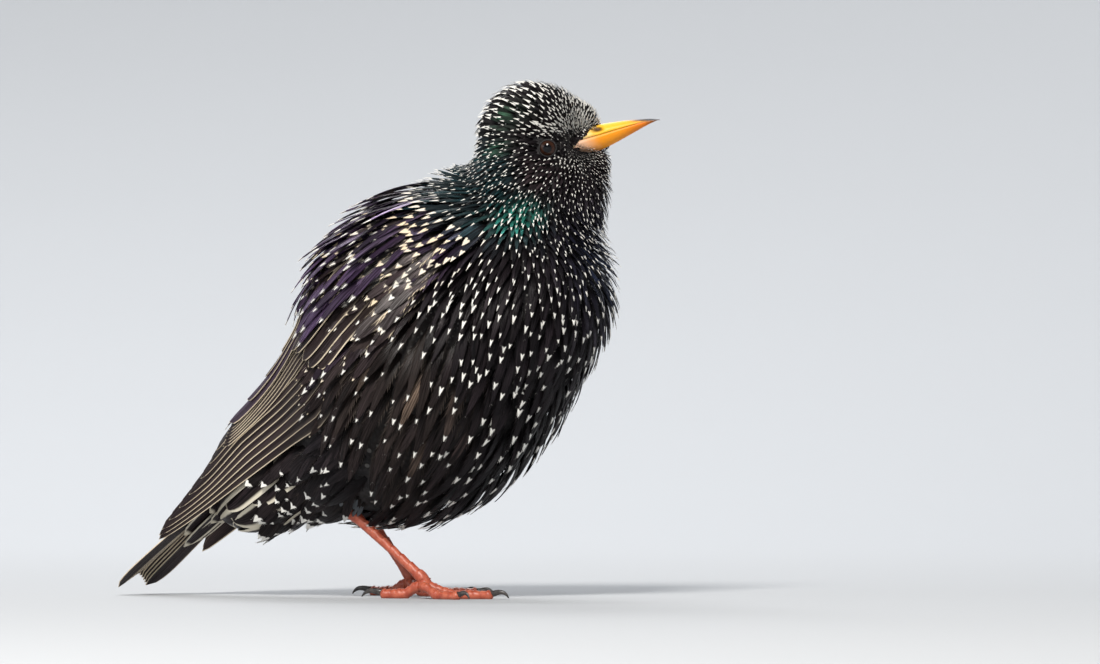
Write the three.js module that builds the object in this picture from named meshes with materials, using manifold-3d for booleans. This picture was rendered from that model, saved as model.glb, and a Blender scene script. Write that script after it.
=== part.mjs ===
// A common starling standing at rest, life size, in millimetres.
// +X is the way the body faces, +Y its left side, +Z up, and the feet stand on z = 0.
import * as THREE from "three";
import { mergeVertices } from "three/addons/utils/BufferGeometryUtils.js";
import Module from "manifold-3d";

const wasm = await Module();
wasm.setup();

const rad = THREE.MathUtils.degToRad;
const lerp = THREE.MathUtils.lerp;
const smooth = THREE.MathUtils.smoothstep;
const vec = (x, y, z) => new THREE.Vector3(x, y, z);

// Clearances and thicknesses
const GAP = 0.3; // between nodes that touch
const VANE = 0.5; // a flight feather's thickness
const SIDES = { right: -1, left: 1 };

// The head has its own frame: x along the bill, centred between and a little above the eyes.
const HEAD = { x: 47.5, y: 0.8, z: 138, pitch: 18, yaw: 12, roll: 5 };
const headTurn = new THREE.Matrix4()
  .makeRotationZ(rad(HEAD.yaw))
  .multiply(new THREE.Matrix4().makeRotationY(rad(-HEAD.pitch)))
  .multiply(new THREE.Matrix4().makeRotationX(rad(HEAD.roll)))
  .setPosition(HEAD.x, HEAD.y, HEAD.z);
const fromHead = (x, y, z) => vec(x, y, z).applyMatrix4(headTurn);

// The plumage outline is a soft union of masses, each with a centre, half sizes and a pitch in degrees
const HEAD_MASSES = [
  { name: "skull", at: [-3.0, 0, 1.5], size: [14.8, 10.3, 15.6], pitch: 0, blend: 0 },
  { name: "crown", at: [-2.5, 0, 6.5], size: [15.0, 9.5, 11.0], pitch: 0, blend: 3 },
  { name: "forehead", at: [5.0, 0, 2.6], size: [12.2, 5.2, 7.4], pitch: 0, blend: 3 },
  { name: "lores", at: [8.0, 0, -3.2], size: [10.0, 2.8, 6.2], pitch: 0, blend: 2 },
  { name: "chin", at: [7.0, 0, -9.8], size: [9.6, 4.2, 5.2], pitch: 0, blend: 3 },
  { name: "cheek", at: [-5.0, 0, -9.0], size: [14.0, 13.2, 12.0], pitch: 0, blend: 4 },
  { name: "throat", at: [5.5, 0, -15.0], size: [8.0, 10.0, 10.5], pitch: 0, blend: 5 },
];
const BODY_MASSES = [
  { name: "neck", at: [40, 0, 119], size: [20, 17.5, 20], pitch: 0, blend: 7 },
  { name: "breast", at: [34, 0, 91], size: [31, 33, 33], pitch: 0, blend: 9 },
  { name: "belly", at: [9, 0, 67], size: [49, 37, 38], pitch: 43, blend: 8 },
  { name: "back", at: [4, 0, 98], size: [34, 29, 20], pitch: 25, blend: 8 },
  { name: "rump", at: [-36, 0, 43], size: [28, 16, 17], pitch: 42, blend: 8 },
];

// Bill, in the head's frame
const BILL = {
  tip: 34.1, // how far the tip stands from the head's centre
  root: 6.0,
  culmen: [1.2, -0.2, -3.7], // height at the root, over the nostril and at the tip
  mouth: [-5.4, -5.0, -3.8],
  keel: [-9.0, -7.5, -3.9],
  width: [11, 6.6, 1.3],
  nostril: { x: 15.6, z: -2.3, length: 3.0, height: 1.3, depth: 0.8, out: 2.9 },
};

const EYE = { x: 0.6, z: -1.8, radius: 3.4, sunk: 2.3, lid: 0.5, opening: 2.75 };

// Wing. Its sheet is laid round the axis from between the wing tips up to the shoulders.
const WING = {
  axis: { x: -73, z: 17, pitch: 37.6 },
  length: 137, // bend of the wing to its tip
  tipRadius: 12.8, // from the axis to the sheet, where the rump no longer holds it out
  rootRadius: 31,
  lead: [-4, -14, 6], // angle of the leading edge at the tip, halfway and at the bend
  droop: { right: 0, left: 6 }, // how far each tip hangs below the axis
  section: 13, // between the sections of a long vane
  base: -0.7, // the sheet's depth inside the plumage outline
  core: { t: [84, 130], h: [0.2, 4.9], top: (t) => lerp(33, 25, smooth(t, 84, 130)) },
  primaries: {
    count: 6,
    width: 5.8,
    pack: [1.6, 3.0], // from one to the next, near the tip and further up
    low: 1.5,
    high: 0.2,
    step: 0.15,
    tips: (i) => 0.8 * i + 1.2 * i * i,
  },
  secondaries: { count: 6, width: 6.3, first: 11, low: 4.2, high: 2.7, tips: (s) => 51 - 22 * s * s },
  tiers: [
    { name: "primary coverts", count: 2, root: 95, tip: 77, from: 5, to: 9, width: 4.8, low: 3.6 },
    { name: "greater coverts", count: 4, root: 96, tip: 75, from: 13.5, to: 25, width: 5.4, low: 5.9 },
    { name: "median coverts", count: 4, root: 110, tip: 94, from: 10, to: 27, width: 6.4, low: 5.6 },
    { name: "lesser coverts", count: 4, root: 122, tip: 108, from: 10, to: 24, width: 6.4, low: 5.4 },
  ],
  scapulars: [
    { count: 2, root: 100, tip: 67, drift: 5, width: 7.4, low: 6.8 },
    { count: 3, root: 112, tip: 96, drift: 4, width: 7.2, low: 6.4 },
    { count: 3, root: 124, tip: 109, drift: 4, width: 7.4, low: 6.2 },
  ],
};

// Feathers of the flank, rooted below the wing and lying up over its lower edge. Rise is their height out
// of the wing's sheet at four places along them, and climb how far they run up across the wing.
const FLANK = {
  shares: [0, 0.35, 0.75, 1],
  breadth: [0.7, 1, 0.86, 0.06],
  ridge: [0.8, 0.9, 0.8, 0.2],
  rows: [
    { count: 5, first: 90, last: 130, b: -8, climb: 12, length: 16, width: 9.8, rise: [-2.6, 4.7, 5.9, 6.3] },
  ],
};

// Coat: how far the core lies inside the outline, how far the tips stand out of it, and the locks
const COAT = {
  neck: { count: 68, core: -1.2, tip: 1.6, length: 12, width: 5.4 },
  torso: { count: 98, core: -1.2, tip: 2.1, length: 18, width: 7.8 },
  ruff: { at: [60, 0, 104], reach: 15, out: 3.0 }, // where the breast's tips stand out most
};

// Tail
const TAIL = {
  base: { x: -41, z: 45.5 },
  length: 65,
  pitch: 41.6, // below level
  roll: 12, // the left side hangs lower
  fold: 10.6, // half width
  feathers: 8,
  upper: [
    { count: 4, from: 4, to: 30, spread: [4, 5], height: [3.0, 2.9], width: 5.6, round: -0.3 },
    { count: 5, from: 0, to: 21, spread: [4.5, 6], height: [4.2, 4.3], width: 5.6, round: -0.4 },
  ],
  under: [
    { count: 4, from: 4, to: 41, spread: [3.5, 5], height: [-3.2, -2.9], width: 6.5, round: 0.3 },
    { count: 5, from: 0, to: 32, spread: [4.5, 6], height: [-5.5, -5.0], width: 6.5, round: 0.5 },
    { count: 5, from: -4, to: 22, spread: [5.5, 7], height: [-9.5, -10.5], width: 6.8, round: 0.7 },
  ],
};

// Legs: where each ankle and each foot joint stands
const LEGS = {
  right: { ankle: [-10.8, -13, 25.8], foot: [12.8, -14, 6] },
  left: { ankle: [-20.1, 13, 31], foot: [-2.1, 14, 6] },
};
const TARSUS = { top: 2.3, middle: 1.45, bottom: 1.9 };
const THIGH = { knee: [12, 17, 24], top: 12, bottom: 2.9 };
// Toes: length to the claw, thickness, turn outwards, how far its root stands beside the joint, claw length
const TOES = {
  middle: { length: 21, radius: 1.6, turn: 0, beside: 0, claw: 6.8 },
  hind: { length: 12, radius: 1.75, turn: 176, beside: 0, claw: 8.0 },
  inner: { length: 14, radius: 1.5, turn: -24, beside: -2.2, claw: 5.8 },
  outer: { length: 15, radius: 1.5, turn: 24, beside: 2.2, claw: 5.6 },
};

// Closed meshes and solids

function solid(geometry) {
  const bare = geometry.clone();
  bare.deleteAttribute("normal");
  bare.deleteAttribute("uv");
  const merged = mergeVertices(bare, 1e-4);
  return new wasm.Manifold(
    new wasm.Mesh({
      numProp: 3,
      vertProperties: merged.attributes.position.array,
      triVerts: new Uint32Array(merged.index.array),
    }),
  );
}

function fromPoints(points, faces) {
  const geometry = new THREE.BufferGeometry().setFromPoints(points);
  geometry.setIndex(faces);
  return solid(geometry);
}

function largest(shape) {
  return shape.decompose().sort((a, b) => b.volume() - a.volume())[0];
}

const join = (shapes) => shapes.reduce((whole, next) => whole.add(next));

// A ring loft: rings are arrays of points, all of one length, going round the same way.
// The two halves of a ring are split alike, so that a thin curved vane keeps its faces apart.
function loft(rings) {
  const n = rings[0].length;
  const points = rings.flat();
  const faces = [];
  for (let i = 0; i + 1 < rings.length; i++)
    for (let j = 0; j < n; j++) {
      const a = i * n + j;
      const b = i * n + ((j + 1) % n);
      if (j < n / 2) faces.push(a, b, a + n, b, b + n, a + n);
      else faces.push(a, b, b + n, a, b + n, a + n);
    }
  const last = (rings.length - 1) * n;
  for (let j = 1; j + 1 < n; j++) {
    faces.push(0, j + 1, j);
    faces.push(last, last + j, last + j + 1);
  }
  const made = fromPoints(points, faces);
  return made.volume() > 0 ? made : fromPoints(points, flipped(faces));
}

function flipped(faces) {
  const out = [];
  for (let i = 0; i < faces.length; i += 3) out.push(faces[i], faces[i + 2], faces[i + 1]);
  return out;
}

// The plumage surface

function readyMass(mass, frame) {
  const turn = new THREE.Matrix4()
    .makeRotationY(rad(-mass.pitch))
    .setPosition(...mass.at);
  if (frame) turn.premultiply(frame);
  return { ...mass, inverse: turn.invert(), size: vec(...mass.size) };
}
const MASSES = [
  ...HEAD_MASSES.map((m) => readyMass(m, headTurn)),
  ...BODY_MASSES.map((m) => readyMass(m)),
];

// Signed distance to one mass, good near its surface
function massDistance(point, mass) {
  const q = point.clone().applyMatrix4(mass.inverse).divide(mass.size);
  const far = q.length();
  const slope = q.divide(mass.size).length();
  return slope < 1e-9 ? -mass.size.x : (far * (far - 1)) / slope;
}

function plumage(point) {
  let nearest = Infinity;
  for (const mass of MASSES) {
    const d = massDistance(point, mass);
    const k = mass.blend || 1e-6;
    const h = Math.max(k - Math.abs(nearest - d), 0) / k;
    nearest = Math.min(nearest, d) - (h * h * k) / 4;
  }
  return nearest;
}

// How far the plumage, moved out by grow, reaches from a point inside it
function reach(from, direction, grow = 0, most = 120) {
  let low = 0;
  const step = 2;
  while (low < most && plumage(from.clone().addScaledVector(direction, low + step)) < grow) low += step;
  let high = low + step;
  for (let i = 0; i < 12; i++) {
    const middle = (low + high) / 2;
    if (plumage(from.clone().addScaledVector(direction, middle)) < grow) low = middle;
    else high = middle;
  }
  return low;
}

// The way out of the plumage at a point
function outward(point) {
  const e = 0.4;
  const grad = ["x", "y", "z"].map((axis) => {
    const ahead = point.clone();
    const behind = point.clone();
    ahead[axis] += e;
    behind[axis] -= e;
    return plumage(ahead) - plumage(behind);
  });
  return vec(...grad).normalize();
}

// The nearest place at a level outside or, below nought, inside the plumage outline
function settle(point, level) {
  const place = point.clone();
  for (let i = 0; i < 4; i++) {
    const height = typeof level === "function" ? level(place) : level;
    place.addScaledVector(outward(place), height - plumage(place));
  }
  return place;
}

// The plumage as seen from a centre, as one closed ball of triangles
function ball(centre, detail, grow = 0) {
  const geometry = new THREE.IcosahedronGeometry(1, detail);
  const place = geometry.attributes.position;
  const direction = new THREE.Vector3();
  for (let i = 0; i < place.count; i++) {
    direction.fromBufferAttribute(place, i).normalize();
    const r = reach(centre, direction, grow);
    place.setXYZ(i, centre.x + direction.x * r, centre.y + direction.y * r, centre.z + direction.z * r);
  }
  return solid(geometry);
}

// Everything on the far side of a plane, as a block
function beyond(point, normal, size = 300) {
  const block = new THREE.BoxGeometry(size, size, size).translate(0, 0, size / 2);
  const turn = new THREE.Quaternion().setFromUnitVectors(vec(0, 0, 1), normal.clone().normalize());
  block.applyQuaternion(turn).translate(point.x, point.y, point.z);
  return solid(block);
}

const CENTRES = {
  head: fromHead(-1, 0, -2),
  neck: vec(41, 0, 117),
  torso: vec(12, 0, 74),
};
// Where head, neck and torso part, and which way each cut faces
const NAPE_CUT = { at: fromHead(-4, 0, -13), facing: fromHead(5, 0, 10).sub(fromHead(0, 0, 0)) };
const COLLAR_CUT = { at: vec(36, 0, 108), facing: vec(0.45, 0, 0.9) };

function above(cut, gap) {
  const facing = cut.facing.clone().normalize();
  return beyond(cut.at.clone().addScaledVector(facing, gap), facing);
}
function below(cut, gap) {
  const facing = cut.facing.clone().normalize().negate();
  return beyond(cut.at.clone().addScaledVector(facing, gap), facing);
}

// Body feathers: tapered locks of a low three-sided section, rooted in a core and laid along the coat

// Which way the coat lies at a place: down the throat and breast, and back along the body behind them
function lie(point) {
  const forward = smooth(point.x + 0.35 * (point.z - 90), 0, 42);
  const low = 1 - smooth(point.z, 45, 92);
  const way = vec(lerp(-0.82, -0.05, forward), 0, lerp(-0.57, -1, forward));
  way.x -= 0.5 * low * forward;
  way.y = Math.sign(point.y) * 0.12 * forward;
  return way.normalize();
}

function lock(root, { length, width, core, tip: plain, over = () => -Infinity, dig = 1.7 }) {
  const far = root.distanceTo(vec(...COAT.ruff.at)) / COAT.ruff.reach;
  const tip = plain + COAT.ruff.out * Math.exp(-far * far);
  const shares = [0, 0.35, 0.75, 1];
  const breadth = [0.7, 1, 0.86, 0.06];
  const levels = [-dig, 0.3 * (tip - core) + 0.3, 0.8 * (tip - core), tip - core];
  const rings = [];
  let place = root.clone();
  let before = 0;
  for (let i = 0; i < shares.length; i++) {
    const normal = outward(place);
    const way = lie(place);
    way.addScaledVector(normal, -way.dot(normal)).normalize();
    const own = core + levels[i];
    place.addScaledVector(way, (shares[i] - before) * length);
    before = shares[i];
    const settled = i ? settle(place, (p) => Math.max(own, over(p))) : settle(place, own);
    const up = outward(settled);
    const across = way.clone().cross(up).normalize();
    const half = (breadth[i] * width) / 2;
    rings.push([
      settled.clone().addScaledVector(across, half),
      settled.clone().addScaledVector(up, i < 3 ? 0.8 : 0.2),
      settled.clone().addScaledVector(across, -half),
    ]);
  }
  return loft(rings);
}

// Roots spread evenly over the core as seen from a centre
function roots(centre, count, core, wanted) {
  const places = [];
  const golden = Math.PI * (3 - Math.sqrt(5));
  for (let i = 0; i < count; i++) {
    const up = 1 - (2 * (i + 0.5)) / count;
    const round = Math.sqrt(1 - up * up);
    const way = vec(up, round * Math.cos(i * golden), round * Math.sin(i * golden));
    const place = centre.clone().addScaledVector(way, reach(centre, way, core));
    if (wanted(place)) places.push(place);
  }
  return places;
}

// Bill

function billSection(t, top, low, wide) {
  const half = wide / 2;
  const x = lerp(BILL.root, BILL.tip, t);
  const ring = [];
  const steps = 12;
  for (let i = 0; i < steps; i++) {
    const angle = (i / steps) * 2 * Math.PI;
    const up = Math.sin(angle);
    const height = up > 0 ? top : low;
    const side = half * Math.cos(angle) * (1 - 0.25 * Math.abs(up));
    ring.push(fromHead(x, side, height[0] + height[1] * Math.abs(up)));
  }
  return ring;
}

// A value that runs from the root over the nostril to the tip
function along(t, [root, nostril, tip]) {
  const middle = 0.36;
  if (t < middle) return lerp(root, nostril, t / middle);
  return lerp(nostril, tip, ((t - middle) / (1 - middle)) ** 1.15);
}

function mandible(upper, grow = 0) {
  const rings = [];
  const steps = 7;
  for (let i = 0; i <= steps; i++) {
    const t = i / steps;
    const mouth = along(t, BILL.mouth) + (upper ? GAP / 2 - grow : -GAP / 2 + grow);
    const edge = upper ? along(t, BILL.culmen) + grow : along(t, BILL.keel) - grow;
    const wide = along(t, BILL.width) + 2 * grow;
    const flat = [mouth, 0];
    const full = [mouth, edge - mouth];
    rings.push(billSection(t, upper ? full : flat, upper ? flat : full, wide));
  }
  return rings;
}

// A half section only: the mouth line is flat, the other side rounded
function mandibleSolid(upper, grow = 0) {
  const rings = mandible(upper, grow).map((ring) => {
    const n = ring.length;
    const keep = [];
    for (let i = 0; i <= n / 2; i++) keep.push(ring[upper ? i : (n / 2 + i) % n]);
    return keep;
  });
  return loft(rings);
}

function nostrilCut(side) {
  const n = BILL.nostril;
  const pit = new THREE.SphereGeometry(1, 8, 6);
  pit.scale(n.length / 2, n.depth, n.height / 2);
  pit.translate(n.x, side * n.out, n.z);
  pit.applyMatrix4(headTurn);
  return solid(pit);
}

// Eyes

function eyeCentre(side) {
  const from = fromHead(EYE.x, 0, EYE.z);
  const out = fromHead(EYE.x, side, EYE.z).sub(from);
  return from.addScaledVector(out, reach(from, out) - EYE.sunk);
}

function eyeball(side, radius = EYE.radius) {
  const c = eyeCentre(side);
  return solid(new THREE.SphereGeometry(radius, 14, 8).translate(c.x, c.y, c.z));
}

function lidRing(side) {
  const lid = new THREE.TorusGeometry(EYE.opening, EYE.lid, 5, 16);
  lid.rotateX(Math.PI / 2).translate(0, side * Math.sqrt(EYE.radius ** 2 - EYE.opening ** 2), 0);
  const turnOnly = headTurn.clone().setPosition(0, 0, 0);
  const c = eyeCentre(side);
  lid.applyMatrix4(turnOnly).translate(c.x, c.y, c.z);
  return solid(lid);
}

// Wing sheet: t runs from the tip up to the bend, b across it from the leading edge, h out of it.

const axisDirection = vec(Math.cos(rad(WING.axis.pitch)), 0, Math.sin(rad(WING.axis.pitch)));
const axisUp = vec(-axisDirection.z, 0, axisDirection.x);

// The sheet's own distance from the axis, where the body doesn't hold it further out
function sheetRadius(t) {
  return lerp(WING.tipRadius, WING.rootRadius, smooth(t / WING.length, 0.05, 0.95));
}

function wingRadius(t, angle, side) {
  const own = sheetRadius(t);
  const from = vec(WING.axis.x, 0, WING.axis.z).addScaledVector(axisDirection, t);
  if (plumage(from) > -2) return own;
  const out = vec(0, side * Math.cos(angle), 0).addScaledVector(axisUp, Math.sin(angle));
  const body = reach(from, out) + WING.base;
  const k = 6;
  const h = Math.max(k - Math.abs(own - body), 0) / k;
  return Math.max(own, body) + (h * h * k) / 4;
}

function leadAngle(t) {
  const share = t / WING.length;
  const [tip, middle, bend] = WING.lead;
  return rad(share < 0.5 ? lerp(tip, middle, share * 2) : lerp(middle, bend, share * 2 - 1));
}

function onWing(side, t, b, h) {
  const name = side < 0 ? "right" : "left";
  const hang = WING.droop[name] * Math.max(0, 1 - t / 90);
  const angle = leadAngle(t) + (b - hang) / Math.max(sheetRadius(t), 16);
  const r = wingRadius(t, angle, side) + h;
  return vec(WING.axis.x, 0, WING.axis.z)
    .addScaledVector(axisDirection, t)
    .addScaledVector(axisUp, r * Math.sin(angle))
    .add(vec(0, side * r * Math.cos(angle), 0));
}

// A slab of the sheet between two edges
function wingSlab(side, [t0, t1], edges, [h0, h1], steps, across) {
  const rings = [];
  for (let i = 0; i <= steps; i++) {
    const t = lerp(t0, t1, i / steps);
    const [low, high] = edges(t);
    const outer = [];
    const inner = [];
    for (let j = 0; j <= across; j++) {
      const b = lerp(low, high, j / across);
      outer.push(onWing(side, t, b, h1));
      inner.push(onWing(side, t, b, h0));
    }
    rings.push([...outer, ...inner.reverse()]);
  }
  return loft(rings);
}

// How far up the sheet the middle of the back is
function ridge(t) {
  return (Math.PI / 2 - leadAngle(t)) * Math.max(sheetRadius(t), 16) - 0.8;
}

// One wing feather: a flat vane from its root at t0 to its tip at t1. lower(t) is its lower edge, and its
// lower edge lies higher than its upper one, so that each vane overlaps the next one down.
// The sections of all vanes stand at the same places along the wing, so that they bend alike.
function wingVane(side, { t0, t1, lower, width, sunk, low, high }) {
  const first = Math.floor((t0 - 2) / WING.section) * WING.section;
  const places = [t0];
  for (let t = first; t > t1 + 5; t -= WING.section) places.push(t);
  places.push(t1 + 2.2, t1);
  const last = places.length - 1;
  const rings = places.map((t, i) => {
    const [inset, breadth] = { [last]: [0.46, 0.16], [last - 1]: [0.16, 0.62] }[i] ?? [0, 1];
    const b0 = lower(t) + inset * width;
    const b1 = b0 + breadth * width;
    const dip = i ? 0 : sunk;
    const h0 = low - dip;
    const h1 = high - dip;
    return [
      onWing(side, t, b0, h0 + VANE),
      onWing(side, t, b1, h1 + VANE),
      onWing(side, t, b1, h1),
      onWing(side, t, b0, h0),
    ];
  });
  return loft(rings);
}

// How near a place is to a wing's footprint, from 0 to 1
function underWing(point) {
  const from = point.clone().sub(vec(WING.axis.x, 0, WING.axis.z));
  const t = from.dot(axisDirection);
  const side = Math.sign(point.y) || 1;
  const angle = Math.atan2(from.dot(axisUp), Math.abs(point.y));
  const name = side < 0 ? "right" : "left";
  const hang = WING.droop[name] * Math.max(0, 1 - t / 90);
  const b = (angle - leadAngle(t)) * Math.max(sheetRadius(t), 16) + hang;
  const top = t < 88 ? ridge(t) + 4 : WING.core.top(t);
  const front = WING.core.t[1] - t;
  return smooth(b, -8, -2) * smooth(top - b, -4.5, 0) * smooth(front, -3, 12) * smooth(t, -12, -4);
}
const overWing = (point) => (underWing(point) > 0.02 ? lerp(-2, 6.0, underWing(point)) : -Infinity);

function wing(side) {
  const { core, primaries, secondaries, tiers } = WING;
  const root = core.t[0] + 7;
  const vanes = [wingCore(side)];
  for (let i = 0; i < primaries.count; i++) {
    const lower = (t) => i * lerp(primaries.pack[0], primaries.pack[1], smooth(t, 0, 60));
    const low = primaries.low + i * primaries.step;
    const high = primaries.high + i * primaries.step;
    const t1 = primaries.tips(i);
    vanes.push(wingVane(side, { ...primaries, low, high, t0: root, t1, lower, sunk: 0 }));
  }
  for (let i = 0; i < secondaries.count; i++) {
    const s = i / (secondaries.count - 1);
    const lower = (t) => lerp(secondaries.first, Math.min(core.top(88), ridge(t)) - secondaries.width, s);
    vanes.push(wingVane(side, { ...secondaries, t0: root, t1: secondaries.tips(s), lower, sunk: 0.2 }));
  }
  for (const tier of tiers)
    for (let i = 0; i < tier.count; i++) {
      const middle = lerp(tier.from, tier.to, i / (tier.count - 1));
      const t0 = tier.root + 1.5 * Math.sin(i * 2.4);
      const t1 = tier.tip + 1.5 * Math.sin(i * 1.7);
      const high = tier.low - 0.9;
      vanes.push(wingVane(side, { ...tier, t0, t1, lower: () => middle - tier.width / 2, high, sunk: 3 }));
    }
  return join(vanes);
}

// Feathers of the shoulder, rooted in the back above the wing and lying over it
function scapulars(side) {
  const vanes = [];
  for (const row of WING.scapulars)
    for (let i = 0; i < row.count; i++) {
      const s = i / (row.count - 1);
      const first = WING.core.top(row.root) + 5;
      const slide = (t) => (row.drift * (row.root - t)) / (row.root - row.tip);
      const lower = (t) => lerp(first - slide(t), ridge(t) - row.width - 1, s);
      const t1 = row.tip + Math.sin(i * 2.2);
      const high = row.low - 1.5;
      vanes.push(wingVane(side, { ...row, t0: row.root, t1, lower, high, sunk: row.low + 1 }));
    }
  return vanes;
}

function flankLocks(side) {
  const locks = [];
  for (const { count, first, last, b, climb, length, width, rise } of FLANK.rows)
    for (let i = 0; i < count; i++) {
      const start = lerp(first, last, i / (count - 1));
      const slant = Math.hypot(climb, length);
      const rings = FLANK.shares.map((s, k) => {
        const half = (FLANK.breadth[k] * width) / 2;
        const at = (w, h) =>
          onWing(side, start - length * s + (w * climb) / slant, b + climb * s + (w * length) / slant, h);
        return [at(-half, rise[k]), at(0, rise[k] + FLANK.ridge[k]), at(half, rise[k])];
      });
      locks.push(loft(rings));
    }
  return locks;
}

// The arm and hand: a slab that thins and rounds off towards the bend of the wing
function wingCore(side, grow = 0) {
  const { t, h, top } = WING.core;
  const rings = [];
  const steps = 7;
  const across = 4;
  for (let i = 0; i <= steps; i++) {
    const s = i / steps;
    const at = lerp(t[0] - grow, t[1] + grow, s);
    const thin = Math.sqrt(Math.max(0, 1 - Math.max(0, (s - 0.55) / 0.46) ** 2));
    const pinch = 8 * Math.max(0, (s - 0.7) / 0.3) ** 2;
    const outer = [];
    const inner = [];
    for (let j = 0; j <= across; j++) {
      const b = lerp(2.5 + pinch - grow, top(at) - pinch + grow, j / across);
      const edge = 1 - 0.35 * (Math.abs(j / across - 0.5) * 2) ** 3;
      outer.push(onWing(side, at, b, lerp(h[0] + 1, h[1], thin * edge) + grow));
      inner.push(onWing(side, at, b, h[0] - grow));
    }
    rings.push([...outer, ...inner.reverse()]);
  }
  return loft(rings);
}

// The space that a wing fills, with a clearance, for what must stay clear of it
function wingSpace(side) {
  const flight = (t) => [-1 - GAP, Math.max(4, t < 45 ? 0.5 * t : Math.min(ridge(t), 33)) + 1];
  return join([
    wingSlab(side, [-2, 84], flight, [-0.4, 5.9], 10, 4),
    wingSlab(side, [74, 90], (t) => [1, Math.min(ridge(t), 34) + 1], [0, 7], 3, 4),
    wingSlab(side, [88, 126], (t) => [2, WING.core.top(t) + 3], [0, 7], 5, 5),
    wingCore(side, 0.4),
  ]);
}

// Tail

const tailTurn = new THREE.Matrix4()
  .makeRotationY(rad(-TAIL.pitch))
  .multiply(new THREE.Matrix4().makeRotationX(rad(-TAIL.roll)))
  .setPosition(TAIL.base.x, 0, TAIL.base.z);
// u runs down the tail, v to the bird's left, h out of its upper face
const onTail = (u, v, h) => vec(-u, v, h).applyMatrix4(tailTurn);

const tailHalf = (s) => lerp(4, TAIL.fold, s ** 0.8);
function tailSlab([u0, u1], half, [h0, h1], steps) {
  const rings = [];
  for (let i = 0; i <= steps; i++) {
    const u = lerp(u0, u1, i / steps);
    const w = half(i / steps);
    rings.push([onTail(u, -w, h1), onTail(u, w, h1), onTail(u, w, h0), onTail(u, -w, h0)]);
  }
  return loft(rings);
}

// A vane of the tail: from u0 to u1, its middle at v0 and v1, at height h0 and h1, tilted across by tilt
function tailVane({ u0, u1, v0, v1, h0, h1, width, tilt = 0 }) {
  const shares = [0, 0.4, 0.8, 0.95, 1];
  const breadth = [0.6, 0.9, 1, 0.72, 0.15];
  const rings = shares.map((s, i) => {
    const w = (breadth[i] * width) / 2;
    const u = lerp(u0, u1, s);
    const v = lerp(v0, v1, s);
    const h = lerp(h0, h1, s);
    const lean = tilt * Math.min(1, s * 2);
    const half = VANE / 2;
    return [
      onTail(u, v - w, h + half - lean),
      onTail(u, v + w, h + half + lean),
      onTail(u, v + w, h - half + lean),
      onTail(u, v - w, h - half - lean),
    ];
  });
  return loft(rings);
}

// The tail feathers, the middle ones on top and the outer ones lowest
function tail() {
  const vanes = [tailSlab([0, 14], (s) => 4 + 1.5 * s, [-1.4, 1.2], 2)];
  for (let i = 0; i < TAIL.feathers; i++) {
    const out = (i - (TAIL.feathers - 1) / 2) / ((TAIL.feathers - 1) / 2);
    const far = Math.abs(out);
    vanes.push(
      tailVane({
        u0: 2,
        u1: TAIL.length - 3.5 * (1 - far ** 1.5) - 1.6 * (1 + out),
        v0: out * 3,
        v1: out * (TAIL.fold - 2.8),
        h0: 0.3 - 1.2 * far,
        h1: 1.0 - 2.6 * far + (out > 0 && far < 0.2 ? 0.8 : 0),
        width: 6.2,
      }),
    );
  }
  return join(vanes);
}

// The feathers over or under the tail's root, in rows from a wedge of flesh
function tailCoverts(wedge, rows) {
  const vanes = [wedge];
  for (const row of rows)
    for (let i = 0; i < row.count; i++) {
      const out = row.count > 1 ? (2 * i) / (row.count - 1) - 1 : 0;
      vanes.push(
        tailVane({
          u0: row.from,
          u1: row.to - 2.5 * Math.abs(out) + Math.sin(i * 2.1 + row.to),
          v0: out * row.spread[0],
          v1: out * row.spread[1],
          h0: row.height[0],
          h1: row.height[1],
          width: row.width,
          tilt: row.round * out,
        }),
      );
    }
  return join(vanes);
}

function tailWedge([u0, u1], wide, near, far, steps) {
  const rings = [];
  for (let i = 0; i <= steps; i++) {
    const s = i / steps;
    const u = lerp(u0, u1, s);
    const w = wide(s);
    const ring = [];
    for (let j = 0; j <= 6; j++) {
      const a = (j / 6) * Math.PI;
      ring.push(onTail(u, w * Math.cos(a), near + (far(s) - near) * Math.sin(a)));
    }
    rings.push(ring);
  }
  return loft(rings);
}

// Legs

function tube(path, radii, sides = 10) {
  const rings = path.map((point, i) => {
    const before = path[Math.max(0, i - 1)];
    const after = path[Math.min(path.length - 1, i + 1)];
    const forward = after.clone().sub(before).normalize();
    const aside = Math.abs(forward.z) > 0.9 ? vec(1, 0, 0) : vec(0, 0, 1);
    const right = forward.clone().cross(aside).normalize();
    const up = right.clone().cross(forward);
    const ring = [];
    for (let j = 0; j < sides; j++) {
      const a = ((j + 0.5) / sides) * 2 * Math.PI;
      ring.push(
        point
          .clone()
          .addScaledVector(right, radii[i] * Math.cos(a))
          .addScaledVector(up, radii[i] * Math.sin(a)),
      );
    }
    return ring;
  });
  return loft(rings);
}

function line(from, to, shares) {
  return shares.map((s) => from.clone().lerp(to, s));
}

function thigh(side, name, grow = 0) {
  const ankle = vec(...LEGS[name].ankle);
  const knee = ankle.clone().add(vec(THIGH.knee[0], side * (THIGH.knee[1] - 13), THIGH.knee[2]));
  const shares = [0, 0.12, 0.3, 0.55, 1];
  const radii = shares.map((s) => lerp(THIGH.bottom, THIGH.top, smooth(s, 0, 1)) + grow);
  const start = ankle.clone().lerp(knee, grow ? 0.04 : 0.06);
  return tube(line(start, knee, shares), radii, 14);
}

function tarsus(name) {
  const ankle = vec(...LEGS[name].ankle);
  const foot = vec(...LEGS[name].foot);
  const shares = [-0.06, 0, 0.12, 0.5, 0.88, 1, 1.05];
  const { top, middle, bottom } = TARSUS;
  const radii = [top * 0.7, top, middle * 1.15, middle, middle * 1.1, bottom, bottom * 0.75];
  return tube(line(ankle, foot, shares), radii, 12);
}

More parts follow.
